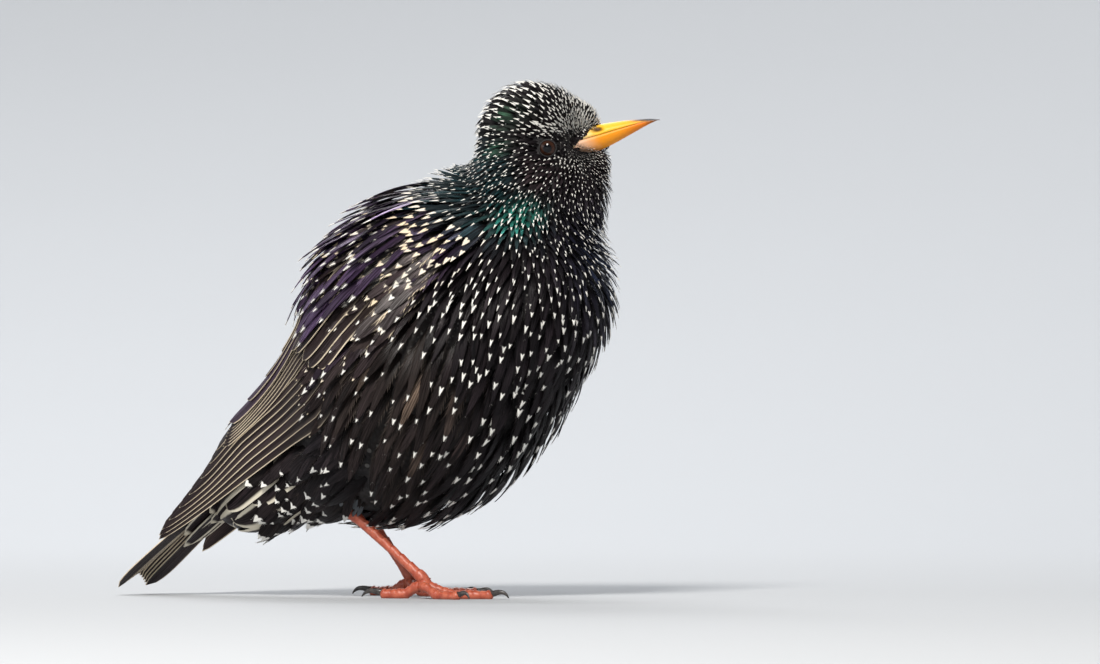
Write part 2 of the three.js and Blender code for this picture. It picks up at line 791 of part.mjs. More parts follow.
function toe(side, name, kind, grow = 0) {
  const t = TOES[kind];
  const foot = vec(...LEGS[name].foot);
  const turn = rad(side * t.turn);
  const forward = vec(Math.cos(turn), Math.sin(turn), 0);
  const root = vec(foot.x, foot.y + side * t.beside, 0).addScaledVector(forward, 1.2);
  root.z = 3.6;
  const tip = root.clone().addScaledVector(forward, t.length);
  tip.z = t.radius * 0.75;
  const shares = [0, 0.2, 0.42, 0.6, 0.82, 1];
  const pads = [0.95, 1.1, 0.94, 1.12, 1.02, 0.7];
  const path = shares.map((s) => {
    const p = root.clone().lerp(tip, s);
    p.z = lerp(root.z, tip.z, smooth(s, 0, 0.45));
    return p;
  });
  const whole = tube(path, pads.map((pad) => pad * t.radius + grow), 6);
  return { whole, root, tip, forward };
}

function claw(side, name, kind) {
  const t = TOES[kind];
  const { tip, forward } = toe(side, name, kind);
  const steps = 4;
  const path = [];
  const radii = [];
  for (let i = 0; i <= steps; i++) {
    const s = i / steps;
    const bend = s * rad(75);
    const p = tip.clone().addScaledVector(forward, GAP + (t.claw * Math.sin(bend)) / 1.3);
    p.z = Math.max(0.05, tip.z + 0.5 + 1.0 * Math.sin(Math.PI * Math.min(1, s * 1.1)) - 1.2 * s);
    path.push(p);
    radii.push(lerp(t.radius * 0.62, 0.2, s ** 1.3));
  }
  return tube(path, radii, 5);
}

const floor = beyond(vec(0, 0, 0), vec(0, 0, 1));

// Materials
function finish(color, roughness, metalness = 0) {
  return new THREE.MeshStandardMaterial({ color, roughness, metalness });
}
const MATERIALS = {
  plumage: finish(0x14121a, 0.5, 0.2),
  flight: finish(0x2a211c, 0.6),
  bill: finish(0xf0a020, 0.35),
  eye: finish(0x120a08, 0.05),
  leg: finish(0xc4553a, 0.5),
  claw: finish(0x35302e, 0.35),
};

// The bird, node by node

const bird = new THREE.Group();

function add(name, shape, material) {
  const kept = largest(shape);
  const mesh = kept.getMesh();
  const points = new Float32Array(mesh.numVert * 3);
  for (let i = 0; i < mesh.numVert; i++)
    points.set(mesh.vertProperties.subarray(i * mesh.numProp, i * mesh.numProp + 3), i * 3);
  const geometry = new THREE.BufferGeometry()
    .setAttribute("position", new THREE.BufferAttribute(points, 3))
    .setIndex(new THREE.BufferAttribute(mesh.triVerts, 1));
  geometry.computeVertexNormals();
  const node = new THREE.Mesh(geometry, MATERIALS[material]);
  node.name = name;
  bird.add(node);
  return kept;
}

const bills = mandibleSolid(true, GAP).add(mandibleSolid(false, GAP));
const eyes = eyeball(-1, EYE.radius + GAP).add(eyeball(1, EYE.radius + GAP));
const lids = lidRing(-1).add(lidRing(1));

add(
  "head",
  ball(CENTRES.head, 6).intersect(above(NAPE_CUT, GAP / 2)).add(lids).subtract(eyes).subtract(bills),
  "plumage",
);
for (const [name, side] of Object.entries(SIDES)) add("eye_" + name, eyeball(side), "eye");
add("bill_upper", mandibleSolid(true).subtract(nostrilCut(-1)).subtract(nostrilCut(1)), "bill");
add("bill_lower", mandibleSolid(false), "bill");
const height = (point, cut) => point.clone().sub(cut.at).dot(cut.facing.clone().normalize());
const neckCore = ball(CENTRES.neck, 5, COAT.neck.core)
  .intersect(below(NAPE_CUT, GAP / 2))
  .intersect(above(COLLAR_CUT, GAP / 2));
const neckLocks = roots(CENTRES.neck, COAT.neck.count, COAT.neck.core, (place) => {
  return height(place, NAPE_CUT) < -3.5 && height(place, COLLAR_CUT) > 2.5;
}).map((place) => lock(place, { ...COAT.neck, over: overWing }));
const headBall = ball(CENTRES.head, 6, GAP);
add("neck", join([neckCore, ...neckLocks]).subtract(headBall.intersect(above(NAPE_CUT, -GAP))), "plumage");

const tailSocket = tailSlab([-GAP, TAIL.length + 1], (s) => tailHalf(s) + 1.2, [-2.4, 2.5], 5);
const legSocket = (name, from, to) =>
  tube(
    line(vec(...LEGS[name].ankle), vec(...LEGS[name].foot), [from, to]),
    [TARSUS.top + GAP, TARSUS.top + GAP],
    12,
  );
const sockets = join([tailSocket, legSocket("right", -0.1, 0.5), legSocket("left", -0.1, 0.5)]);
const torsoCore = ball(CENTRES.torso, 7, COAT.torso.core).intersect(below(COLLAR_CUT, GAP / 2));
const torsoLocks = roots(CENTRES.torso, COAT.torso.count, COAT.torso.core, (place) => {
  return height(place, COLLAR_CUT) < -2.5 && underWing(place) < 0.1 && place.x > -43;
}).map((place) => lock(place, { ...COAT.torso, over: overWing }));
const shoulders = Object.values(SIDES).flatMap(scapulars);
const flanks = Object.values(SIDES).flatMap(flankLocks);
const wingSpaces = join(Object.values(SIDES).map(wingSpace));
const thighSpaces = join(Object.entries(SIDES).map(([name, side]) => thigh(side, name, GAP)));
const loose = join(torsoLocks).subtract(wingSpaces).subtract(thighSpaces);
const torsoCoat = join([loose, ...shoulders, ...flanks]);
add("torso", torsoCore.add(torsoCoat).subtract(sockets), "plumage");
const torsoGrown = ball(CENTRES.torso, 7, COAT.torso.tip + 0.8);
const torsoCoreGrown = ball(CENTRES.torso, 7, COAT.torso.core + GAP);

add("tail", tail(), "flight");
const upperWedge = tailWedge([-6, 14], (s) => 7 - 2 * s, 2.2 + GAP, (s) => 6 - 2.5 * s, 3);
const underWedge = tailWedge([-10, 18], (s) => 11 - 4 * s, -1.9 - GAP, (s) => -14 + 8 * s, 3);
add("tail_coverts_upper", tailCoverts(upperWedge, TAIL.upper).subtract(torsoGrown), "plumage");
add("tail_coverts_under", tailCoverts(underWedge, TAIL.under).subtract(torsoGrown), "plumage");

for (const [name, side] of Object.entries(SIDES)) {
  add("wing_" + name, wing(side), "flight");
  const flesh = thigh(side, name).subtract(torsoCoreGrown).subtract(legSocket(name, -0.1, 0.3));
  add("thigh_" + name, flesh, "plumage");
  add("tarsus_" + name, tarsus(name).intersect(floor), "leg");
  for (const kind of Object.keys(TOES)) {
    let { whole } = toe(side, name, kind);
    if (kind !== "middle") whole = whole.subtract(toe(side, name, "middle", GAP).whole);
    add("toe_" + kind + "_" + name, whole.intersect(floor).subtract(legSocket(name, 0.7, 1.15)), "leg");
    add("claw_" + kind + "_" + name, claw(side, name, kind).intersect(floor), "claw");
  }
}

const box = new THREE.Box3().setFromObject(bird);
const middle = box.getCenter(new THREE.Vector3());
bird.position.set(-middle.x, -middle.y, -box.min.z);

export default bird;
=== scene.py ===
# %% [markdown]
# A starling is a small, glossy black bird, covered in pale tips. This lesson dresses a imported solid
# model of one. The solids give its size, its place and its outline. Here they get skin, feathers,
# a horny bill, wet eyes and scaly legs. Everything stays where the solids say.

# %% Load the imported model
import math

import bmesh
import bpy
import numpy as np
from mathutils import Matrix, Vector
from mathutils.bvhtree import BVHTree
from mathutils.kdtree import KDTree


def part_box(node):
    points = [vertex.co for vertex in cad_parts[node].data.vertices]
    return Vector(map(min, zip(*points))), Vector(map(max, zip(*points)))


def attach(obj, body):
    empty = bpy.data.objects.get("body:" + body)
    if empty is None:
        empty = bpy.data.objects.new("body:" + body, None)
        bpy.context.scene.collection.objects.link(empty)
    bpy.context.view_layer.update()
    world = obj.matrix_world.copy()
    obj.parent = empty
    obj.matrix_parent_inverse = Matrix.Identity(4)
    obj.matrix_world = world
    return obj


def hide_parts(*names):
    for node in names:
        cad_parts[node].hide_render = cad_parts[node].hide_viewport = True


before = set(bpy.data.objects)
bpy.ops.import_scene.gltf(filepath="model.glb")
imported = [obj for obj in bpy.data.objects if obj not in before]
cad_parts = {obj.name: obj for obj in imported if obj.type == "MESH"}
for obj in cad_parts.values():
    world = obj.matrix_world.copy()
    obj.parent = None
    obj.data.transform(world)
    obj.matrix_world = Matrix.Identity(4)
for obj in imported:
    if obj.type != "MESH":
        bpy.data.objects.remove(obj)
bpy.context.view_layer.update()
rng = np.random.default_rng(7)

# %% [markdown]
# The bird's own frame is in millimetres: x forward, y to its left, z up from the floor. Its head has
# a turned frame, with x along the bill. The same round masses as in the solids give the outline of
# the plumage, so a feather can be laid at any height over it.

# %% The masses under the plumage
MM = 0.001
SIDES = (("right", -1), ("left", 1))


def rotation(axis, degrees):
    return np.array(Matrix.Rotation(math.radians(degrees), 3, axis))


HEAD_AT = np.array([47.5, 0.8, 138.0])
HEAD_TURN = rotation("Z", 12) @ rotation("Y", -18) @ rotation("X", 5)


def from_head(points):
    return np.atleast_2d(points) @ HEAD_TURN.T + HEAD_AT


def to_head(points):
    return (np.atleast_2d(points) - HEAD_AT) @ HEAD_TURN


# Each mass: its centre, half sizes, pitch and how softly it melts into those before it
HEAD_MASSES = [
    ((-3.0, 0, 1.5), (14.8, 10.3, 15.6), 0, 0),
    ((-2.5, 0, 6.5), (15.0, 9.5, 11.0), 0, 3),
    ((5.0, 0, 2.6), (12.2, 5.2, 7.4), 0, 3),
    ((8.0, 0, -3.2), (10.0, 2.8, 6.2), 0, 2),
    ((7.0, 0, -9.8), (9.6, 4.2, 5.2), 0, 3),
    ((-5.0, 0, -9.0), (14.0, 13.2, 12.0), 0, 4),
    ((5.5, 0, -15.0), (8.0, 10.0, 10.5), 0, 5),
]
BODY_MASSES = [
    ((40, 0, 119), (20, 17.5, 20), 0, 7),
    ((34, 0, 91), (31, 33, 33), 0, 9),
    ((9, 0, 67), (49, 37, 38), 43, 8),
    ((4, 0, 98), (34, 29, 20), 25, 8),
    ((-36, 0, 43), (28, 16, 17), 42, 8),
]
MASSES = []
for at, size, pitch, blend in HEAD_MASSES:
    turn = HEAD_TURN @ rotation("Y", -pitch)
    MASSES.append((from_head(at)[0], turn, np.array(size, float), max(blend, 1e-6)))
for at, size, pitch, blend in BODY_MASSES:
    MASSES.append((np.array(at, float), rotation("Y", -pitch), np.array(size, float), blend))

# Each thigh is a feathered cone from the ankle up to the knee
ANKLES = {-1: np.array([-10.8, -13, 25.8]), 1: np.array([-20.1, 13, 31.0])}
FEET = {-1: np.array([12.8, -14, 6.0]), 1: np.array([-2.1, 14, 6.0])}
THIGH_RUN = np.array([12, 4, 24.0])
THIGH_RADII = (2.9, 12)
THIGH_FROM = 0.06


def smooth(value, low, high):
    share = np.clip((value - low) / (high - low), 0, 1)
    return share * share * (3 - 2 * share)


def circle(count):
    """Angles spaced evenly all round."""
    return np.arange(count) / count * 2 * math.pi


def soft_union(a, b, k):
    overlap = np.maximum(k - np.abs(a - b), 0) / k
    return np.minimum(a, b) - overlap * overlap * k / 4


def plumage(points):
    """Signed distance from the plumage's outline in millimetres, less than nought inside it."""
    nearest = np.full(len(points), 1e3)
    for centre, turn, size, blend in MASSES:
        local = (points - centre) @ turn / size
        far = np.linalg.norm(local, axis=1)
        slope = np.maximum(np.linalg.norm(local / size, axis=1), 1e-9)
        nearest = soft_union(nearest, far * (far - 1) / slope, blend)
    return nearest


def thigh_radius(share):
    """Radius of a thigh at a share of its length up from the ankle."""
    return THIGH_RADII[0] + (THIGH_RADII[1] - THIGH_RADII[0]) * smooth(share, 0, 1)


def with_thighs(points):
    nearest = plumage(points)
    for side, ankle in ANKLES.items():
        run = THIGH_RUN * (1, side, 1)
        share = np.clip((points - ankle) @ run / (run @ run), THIGH_FROM, 1)
        radius = thigh_radius(share)
        cone = np.linalg.norm(points - ankle - share[:, None] * run, axis=1) - radius
        nearest = soft_union(nearest, cone, 4)
    return nearest


SLOPE_STEP = 0.4
SETTLE_ROUNDS = 4
REACH_MOST, REACH_STEP, REACH_HALVINGS = 120.0, 2.0, 12


def outward(points, field=plumage):
    grad = np.zeros_like(points)
    for axis in range(3):
        step = np.zeros(3)
        step[axis] = SLOPE_STEP
        grad[:, axis] = field(points + step) - field(points - step)
    return grad / np.maximum(np.linalg.norm(grad, axis=1, keepdims=True), 1e-9)


def settle(points, level, field=plumage):
    """The nearest places at a height over the outline."""
    place = points.copy()
    for _ in range(SETTLE_ROUNDS):
        place += outward(place, field) * (level - field(place))[:, None]
    return place


def reach(start, direction):
    """How far the plumage reaches from points inside it: by steps first, and then by halving."""
    low = np.zeros(len(start))
    high = np.full(len(start), REACH_MOST)
    for step in np.arange(REACH_STEP, REACH_MOST, REACH_STEP):
        out = plumage(start + direction * step) > 0
        high[out & (high == REACH_MOST)] = step
        low[~out & (high == REACH_MOST)] = step
    for _ in range(REACH_HALVINGS):
        middle = (low + high) / 2
        inside = plumage(start + direction * middle[:, None]) < 0
        low = np.where(inside, middle, low)
        high = np.where(inside, high, middle)
    return low


def unit(vectors):
    return vectors / np.maximum(np.linalg.norm(vectors, axis=-1, keepdims=True), 1e-9)


# %% Put the bird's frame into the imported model's
EYE = {"x": 0.6, "z": -1.8, "radius": 3.4, "sunk": 2.3}


def eye_centre(side):
    start = from_head((EYE["x"], 0, EYE["z"]))
    out = from_head((EYE["x"], side, EYE["z"])) - start
    return (start + out * (reach(start, out) - EYE["sunk"]))[0]


corners = np.array(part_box("eye_right")) / MM
SHIFT = corners.mean(axis=0) - eye_centre(-1)
print("the bird's frame is moved by", SHIFT.round(2), "mm")


def to_scene(points):
    return (np.asarray(points) + SHIFT) * MM


# %% [markdown]
# The camera stands where the photographer stood: level with the bird and well away from it, with a
# long lens, looking at its right side and a little from the front.

# %% Camera
VIEW_TURN = math.radians(20)
LOOK_AT = to_scene((42.7, 15.5, 80.3))
DISTANCE = 3.0
FIELD_WIDTH = 0.3333
SENSOR = 36

camera = bpy.data.objects.new("camera", bpy.data.cameras.new("camera"))
bpy.context.scene.collection.objects.link(camera)
camera.data.sensor_width = SENSOR
camera.data.lens = SENSOR * DISTANCE / FIELD_WIDTH
camera.data.clip_start = 0.05
away = Vector((math.sin(VIEW_TURN), -math.cos(VIEW_TURN), 0))
camera.location = Vector(LOOK_AT) + away * DISTANCE
camera.rotation_euler = away.to_track_quat("Z", "Y").to_euler()
bpy.context.scene.camera = camera
print("camera", tuple(round(v, 3) for v in camera.location), "lens", round(camera.data.lens, 1))

# %% [markdown]
# Black feathers show their form by what they mirror. So the light is soft and comes from large
# panels: a key from above and in front of the bird, a wide fill, and a rim light behind it.

# %% Floor, sky and lights
def new_material(name):
    """A material, its node tree and its surface shader."""
    material = bpy.data.materials.new(name)
    material.use_nodes = True
    return material, material.node_tree, material.node_tree.nodes["Principled BSDF"]


def plain_material(name, color, roughness):
    material, _, shader = new_material(name)
    shader.inputs["Base Color"].default_value = (*color, 1)
    shader.inputs["Roughness"].default_value = roughness
    return material


def make_floor():
    """A round floor that sweeps up to a low wall. Only its inner side is seen, so it hides no view."""
    around, flat, bend, top = 96, 0.8, 1.2, 1.4
    curve = [(flat, 0.0)]
    for i in range(1, 17):
        a = i / 16 * math.pi / 2
        curve.append((flat + bend * math.sin(a), bend - bend * math.cos(a)))
    curve.append((flat + bend, top))
    turn = circle(around)
    points = [(0.0, 0.0, 0.0)]
    for radius, z in curve:
        points += [(radius * math.cos(t), radius * math.sin(t), z) for t in turn]
    faces = [(0, 1 + j, 1 + (j + 1) % around) for j in range(around)]
    for k in range(len(curve) - 1):
        for j in range(around):
            a, b = 1 + k * around + j, 1 + k * around + (j + 1) % around
            faces.append((a, a + around, b + around, b))
    mesh = bpy.data.meshes.new("floor")
    mesh.from_pydata(points, [], faces)
    floor = bpy.data.objects.new("floor", mesh)
    bpy.context.scene.collection.objects.link(floor)
    material = plain_material("pale floor", (0.47, 0.485, 0.505), 0.9)
    tree = material.node_tree
    seen = tree.nodes.new("ShaderNodeNewGeometry")
    front = tree.nodes.new("ShaderNodeMath")
    front.operation = "SUBTRACT"
    front.inputs[0].default_value = 1.0
    tree.links.new(seen.outputs["Backfacing"], front.inputs[1])
    tree.links.new(front.outputs[0], tree.nodes["Principled BSDF"].inputs["Alpha"])
    mesh.materials.append(material)
    mesh.polygons.foreach_set("use_smooth", [True] * len(mesh.polygons))


def add_panel(name, at, size, power, color=(1, 1, 1), target=(0, 0, 0.08)):
    light = bpy.data.lights.new(name, "AREA")
    light.shape = "RECTANGLE"
    light.size, light.size_y = size
    light.energy = power
    light.color = color
    panel = bpy.data.objects.new(name, light)
    bpy.context.scene.collection.objects.link(panel)
    panel.location = at
    panel.rotation_euler = (Vector(at) - Vector(target)).to_track_quat("Z", "Y").to_euler()


make_floor()
add_panel("key", (0.15, -1.15, 1.15), (0.4, 0.4), 30, (1.0, 0.97, 0.92))
add_panel("fill", (-1.1, -0.9, 0.5), (0.9, 0.7), 3, (0.92, 0.95, 1.0))
add_panel("rim", (-0.5, 0.9, 0.9), (0.6, 0.5), 7)
add_panel("backdrop", (-0.1, 0.5, 1.7), (1.6, 0.4), 22, target=(-0.6, 1.85, 0.5))
world = bpy.data.worlds.new("studio")
bpy.context.scene.world = world
world.use_nodes = True
world.node_tree.nodes["Background"].inputs["Color"].default_value = (0.85, 0.9, 1.0, 1)
world.node_tree.nodes["Background"].inputs["Strength"].default_value = 0.16
bpy.context.scene.view_settings.view_transform = "Standard"

# %% [markdown]
# Some helpers come first: one turns points and faces into an object, and one keeps the node trees
# of the materials short to write.

# %% Helpers for meshes and node trees
def make_object(name, points, faces, material=None):
    mesh = bpy.data.meshes.new(name)
    mesh.from_pydata(np.asarray(points).tolist(), [], [list(f) for f in faces])
    mesh.polygons.foreach_set("use_smooth", [True] * len(mesh.polygons))
    if material:
        mesh.materials.append(material)
    made = bpy.data.objects.new(name, mesh)
    bpy.context.scene.collection.objects.link(made)
    return made


def evaluated_mesh(made, name):
    """A plain mesh of an object with its modifiers worked out."""
    bpy.context.view_layer.update()
    graph = bpy.context.evaluated_depsgraph_get()
    mesh = bpy.data.meshes.new_from_object(made.evaluated_get(graph))
    mesh.name = name
    return mesh


def point_places(made):
    points = np.zeros(len(made.data.vertices) * 3)
    made.data.vertices.foreach_get("co", points)
    return points.reshape(-1, 3)


def triangles(mesh):
    return sum(len(p.vertices) - 2 for p in mesh.polygons)


def tube_faces(steps, around, caps=True, start=0):
    """The faces between closed rings of points, and one face over each end."""
    faces = []
    for k in range(steps):
        for j in range(around):
            a, b = start + k * around + j, start + k * around + (j + 1) % around
            faces.append((a, b, b + around, a + around))
    if caps:
        faces.append(tuple(start + j for j in range(around)))
        faces.append(tuple(start + steps * around + j for j in range(around)))
    return faces


def add_values(made, name, values):
    """An attribute with one number for each point, three for a vector or four for a colour."""
    values = np.ascontiguousarray(values, np.float32)
    width = values.shape[1] if values.ndim == 2 else 1
    kind, field = {1: ("FLOAT", "value"), 3: ("FLOAT_VECTOR", "vector"), 4: ("FLOAT_COLOR", "color")}[width]
    layer = made.data.attributes.new(name, kind, "POINT")
    layer.data.foreach_set(field, values.ravel())


def fix_normals(made, merge=0.0):
    """Turns every face outward, once points nearer than merge are joined."""
    bm = bmesh.new()
    bm.from_mesh(made.data)
    if merge:
        bmesh.ops.remove_doubles(bm, verts=bm.verts, dist=merge)
    bmesh.ops.recalc_face_normals(bm, faces=bm.faces)
    bm.to_mesh(made.data)
    bm.free()


def add_node(tree, kind, inputs=None, **settings):
    """A node with its settings, and its inputs by name or number: plain values or sockets."""
    node = tree.nodes.new(kind)
    for key, value in settings.items():
        setattr(node, key, value)
    for key, value in (inputs or {}).items():
        if isinstance(value, bpy.types.NodeSocket):
            tree.links.new(value, node.inputs[key])
        else:
            node.inputs[key].default_value = value
    return node


def math_node(tree, operation, *values):
    node = add_node(tree, "ShaderNodeMath", dict(enumerate(values)), operation=operation)
    return node.outputs[0]


def ramp(tree, value, low, high):
    """Nought below low, one above high, smooth in between."""
    inputs = {"Value": value, "From Min": low, "From Max": high}
    node = add_node(tree, "ShaderNodeMapRange", inputs, interpolation_type="SMOOTHSTEP")
    return node.outputs["Result"]


def times(tree, a, b):
    return math_node(tree, "MULTIPLY", a, b)


def one_minus(tree, value):
    return math_node(tree, "SUBTRACT", 1.0, value)


def mix_color(tree, share, a, b):
    return add_node(tree, "ShaderNodeMix", {0: share, 6: a, 7: b}, data_type="RGBA").outputs[2]


def attribute(tree, name):
    return add_node(tree, "ShaderNodeAttribute", attribute_name=name, attribute_type="GEOMETRY")


def factor(tree, name):
    """An attribute that is a plain number."""
    return attribute(tree, name).outputs["Fac"]


def noise(tree, place, scale, detail):
    inputs = {"Vector": place, "Scale": scale, "Detail": detail}
    return add_node(tree, "ShaderNodeTexNoise", inputs).outputs["Fac"]


def add_bump(tree, shader, height, strength, distance=0.0001):
    inputs = {"Strength": strength, "Distance": distance, "Height": height}
    bump = add_node(tree, "ShaderNodeBump", inputs)
    tree.links.new(bump.outputs[0], shader.inputs["Normal"])


# %% [markdown]
# Under the feathers lies one skin. It could be sculpted, but the masses are already known: balls of
# their sizes are joined, a voxel remesh makes one even surface of them, and each point is then moved
# to a level a little inside the plumage.

# %% Skin
SKIN_LEVEL = -1.7
VOXEL = 1.7


def make_skin():
    bm = bmesh.new()
    for centre, turn, size, _ in MASSES:
        matrix = Matrix.Translation(centre) @ Matrix(turn.tolist()).to_4x4() @ Matrix.Diagonal((*size, 1))
        bmesh.ops.create_icosphere(bm, subdivisions=4, radius=1, matrix=matrix)
    for side, ankle in ANKLES.items():
        for share in np.linspace(THIGH_FROM, 1, 12):
            at = ankle + share * THIGH_RUN * (1, side, 1)
            radius = thigh_radius(share)
            matrix = Matrix.Translation(at)
            bmesh.ops.create_icosphere(bm, subdivisions=3, radius=radius, matrix=matrix)
    mesh = bpy.data.meshes.new("masses")
    bm.to_mesh(mesh)
    bm.free()
    made = bpy.data.objects.new("skin", mesh)
    bpy.context.scene.collection.objects.link(made)
    remesh = made.modifiers.new("even", "REMESH")
    remesh.mode = "VOXEL"
    remesh.voxel_size = VOXEL
    made.data = evaluated_mesh(made, "skin")
    made.modifiers.clear()
    points = settle(point_places(made), SKIN_LEVEL, with_thighs)
    made.data.vertices.foreach_set("co", to_scene(points).ravel())
    made.data.polygons.foreach_set("use_smooth", [True] * len(made.data.polygons))
    return made


skin = make_skin()
print("skin", len(skin.data.vertices), "points")

# %% Unwrap the skin
bpy.context.view_layer.objects.active = skin
skin.select_set(True)
skin.data.uv_layers.new(name="OFBake")
bpy.ops.object.mode_set(mode="EDIT")
bpy.ops.mesh.select_all(action="SELECT")
bpy.ops.uv.smart_project(angle_limit=math.radians(66), island_margin=0.004)
bpy.ops.object.mode_set(mode="OBJECT")
skin.select_set(False)
skin_tree = BVHTree.FromPolygons(
    [v.co for v in skin.data.vertices], [list(p.vertices) for p in skin.data.polygons]
)
skin_uv = np.zeros(len(skin.data.loops) * 2)
skin.data.uv_layers["OFBake"].data.foreach_get("uv", skin_uv)
skin_uv = skin_uv.reshape(-1, 2)


def bake_place(points):
    """Where points of the scene lie on the skin's unwrap."""
    found = np.zeros((len(points), 2))
    for i, point in enumerate(points):
        face = skin.data.polygons[skin_tree.find_nearest(Vector(point))[2]]
        found[i] = skin_uv[list(face.loop_indices)].mean(axis=0)
    return found


# %% [markdown]
# The folded wing is a sheet that wraps the flank. It is laid round an axis from between the wing
# tips up to the shoulders: t runs up along the axis, b across the wing from its lower edge, and
# h out of it. Feathers of the flank must rise over it, so it is worked out before the coat.

# %% The wing's sheet
AXIS_AT = np.array([-73.0, 0, 17])
AXIS_PITCH = math.radians(37.6)
AXIS = np.array([math.cos(AXIS_PITCH), 0, math.sin(AXIS_PITCH)])
AXIS_UP = np.array([-AXIS[2], 0, AXIS[0]])
WING_LENGTH = 137
WING_RADII = (12.8, 31)
WING_LEAD = (-4, -14, 6)
WING_DROOP = {-1: 0, 1: 6}
WING_BASE = -0.7
LEAST_SPREAD = 16


def sheet_radius(t):
    return WING_RADII[0] + (WING_RADII[1] - WING_RADII[0]) * smooth(t / WING_LENGTH, 0.05, 0.95)


def spread(t):
    """How many millimetres of b there are to a radian about the axis."""
    return np.maximum(sheet_radius(t), LEAST_SPREAD)


def lead_angle(t):
    return np.radians(np.interp(t / WING_LENGTH, [0, 0.5, 1], WING_LEAD))


def hang(side, t):
    return WING_DROOP[side] * np.maximum(0, 1 - t / 90)


# The sheet's radius is worked out once on a grid of t and angle and read from it afterwards
GRID_STEP, GRID_DEGREES = 3.0, 4.0
GRID_T = np.arange(-16, 146, GRID_STEP)
GRID_ANGLE = np.radians(np.arange(-60, 126, GRID_DEGREES))


def radius_grid():
    t, angle = np.meshgrid(GRID_T, GRID_ANGLE, indexing="ij")
    t, angle = t.ravel(), angle.ravel()
    own = sheet_radius(t)
    start = AXIS_AT + t[:, None] * AXIS
    out = np.cos(angle)[:, None] * (0, -1, 0) + np.sin(angle)[:, None] * AXIS_UP
    body = reach(start, out) + WING_BASE
    radius = -soft_union(-own, -body, 6)
    radius = np.where(plumage(start) > -2, own, radius)
    return radius.reshape(len(GRID_T), len(GRID_ANGLE))


WING_GRID = radius_grid()


def wing_radius(t, angle):
    x = np.clip((t - GRID_T[0]) / GRID_STEP, 0, len(GRID_T) - 1.001)
    y = np.clip((angle - GRID_ANGLE[0]) / math.radians(GRID_DEGREES), 0, len(GRID_ANGLE) - 1.001)
    i, j = x.astype(int), y.astype(int)
    fx, fy = x - i, y - j
    low = WING_GRID[i, j] * (1 - fx) + WING_GRID[i + 1, j] * fx
    high = WING_GRID[i, j + 1] * (1 - fx) + WING_GRID[i + 1, j + 1] * fx
    return low * (1 - fy) + high * fy


def on_wing(side, t, b, h):
    t, b, h = np.broadcast_arrays(np.asarray(t, float), b, h)
    angle = lead_angle(t) + (b - hang(side, t)) / spread(t)
    r = wing_radius(t, angle) + h
    place = AXIS_AT + t[..., None] * AXIS + (r * np.sin(angle))[..., None] * AXIS_UP
    place[..., 1] += side * r * np.cos(angle)
    return place


def wing_place(points):
    """t and b of points, on the side that they are on."""
    start = points - AXIS_AT
    t = start @ AXIS
    angle = np.arctan2(start @ AXIS_UP, np.abs(points[:, 1]))
    side = np.where(points[:, 1] < 0, -1, 1)
    drop = np.where(side < 0, hang(-1, t), hang(1, t))
    return t, (angle - lead_angle(t)) * spread(t) + drop


print("wing sheet from", WING_GRID.min().round(1), "to", WING_GRID.max().round(1), "mm")

# %% [markdown]
# A body feather is modelled once, one unit wide and long, and then grown thousands of times. It has a
# slim closed vane with a gentle arch, and a fringe of single barbs along both sides. Its own map,
# named vane, runs across and along it, so the pale tip can be painted on.

# %% One feather to copy
ARCH = 0.07
SHEET = 0.035


def template_half(s, start, power):
    """Half the width: a soft start, and a taper from start on, sharp where power is low."""
    fall = np.clip((s - start) / (1 - start), 0, 1)
    return 0.5 * smooth(s, -0.3, 0.35) * (1 - fall**power) + 0.02


def feather_template(name, rings, start, power, inner=1.0, barbs=0):
    along = np.linspace(0, 1, rings + 1)
    half = template_half(along, start, power) * inner
    points, faces = [], []
    for s, x in zip(along, half):
        points += [(-x, s, -ARCH * x), (0, s, SHEET), (x, s, -ARCH * x), (0, s, -0.6 * SHEET - ARCH * x)]
    for k in range(rings):
        for j in range(4):
            a, b = k * 4 + j, k * 4 + (j + 1) % 4
            faces.append((a, a + 4, b + 4, b))
    last = rings * 4
    faces += [(0, 1, 2, 3), (last + 3, last + 2, last + 1, last)]
    # Each barb is a slim spike from the edge of the vane
    chance = np.random.default_rng(3)
    for side in (-1, 1):
        for k in range(barbs):
            at = 0.12 + 0.84 * (k + 0.2 * chance.random()) / barbs
            tip = at + chance.uniform(0.10, 0.19)
            x = template_half(at, start, power) * inner * 0.85
            out = template_half(min(tip, 1.0), start, power) * chance.uniform(0.85, 1.2)
            root = 0.42 / barbs
            first = len(points)
            points += [
                (side * x, at - root, 0), (side * x, at + root, 0), (side * x, at, -SHEET),
                (side * max(out, x * 0.9), tip, -ARCH * out),
            ]
            a, b, c, d = first, first + 1, first + 2, first + 3
            if side > 0:
                faces += [(a, c, b), (a, b, d), (b, c, d), (c, a, d)]
            else:
                faces += [(a, b, c), (a, d, b), (b, d, c), (c, d, a)]
    made = make_object(name, points, faces)
    made.data.set_sharp_from_angle(angle=math.radians(50))
    layer = made.data.uv_layers.new(name="vane")
    for loop in made.data.loops:
        x, s, _ = points[loop.vertex_index]
        layer.data[loop.index].uv = (0.5 + x, s)
    add_values(made, "along", [p[1] for p in points])
    print(name, triangles(made.data), "triangles")
    return made


# %% [markdown]
# Geometry Nodes plants the feathers. Each root carries its own turn, size, sag and colours as
# attributes. The tree puts a copy on each root, makes the copies real, bends them down to where
# their tips should lie, and writes the bake map: a tiny patch at the root's place on the skin.

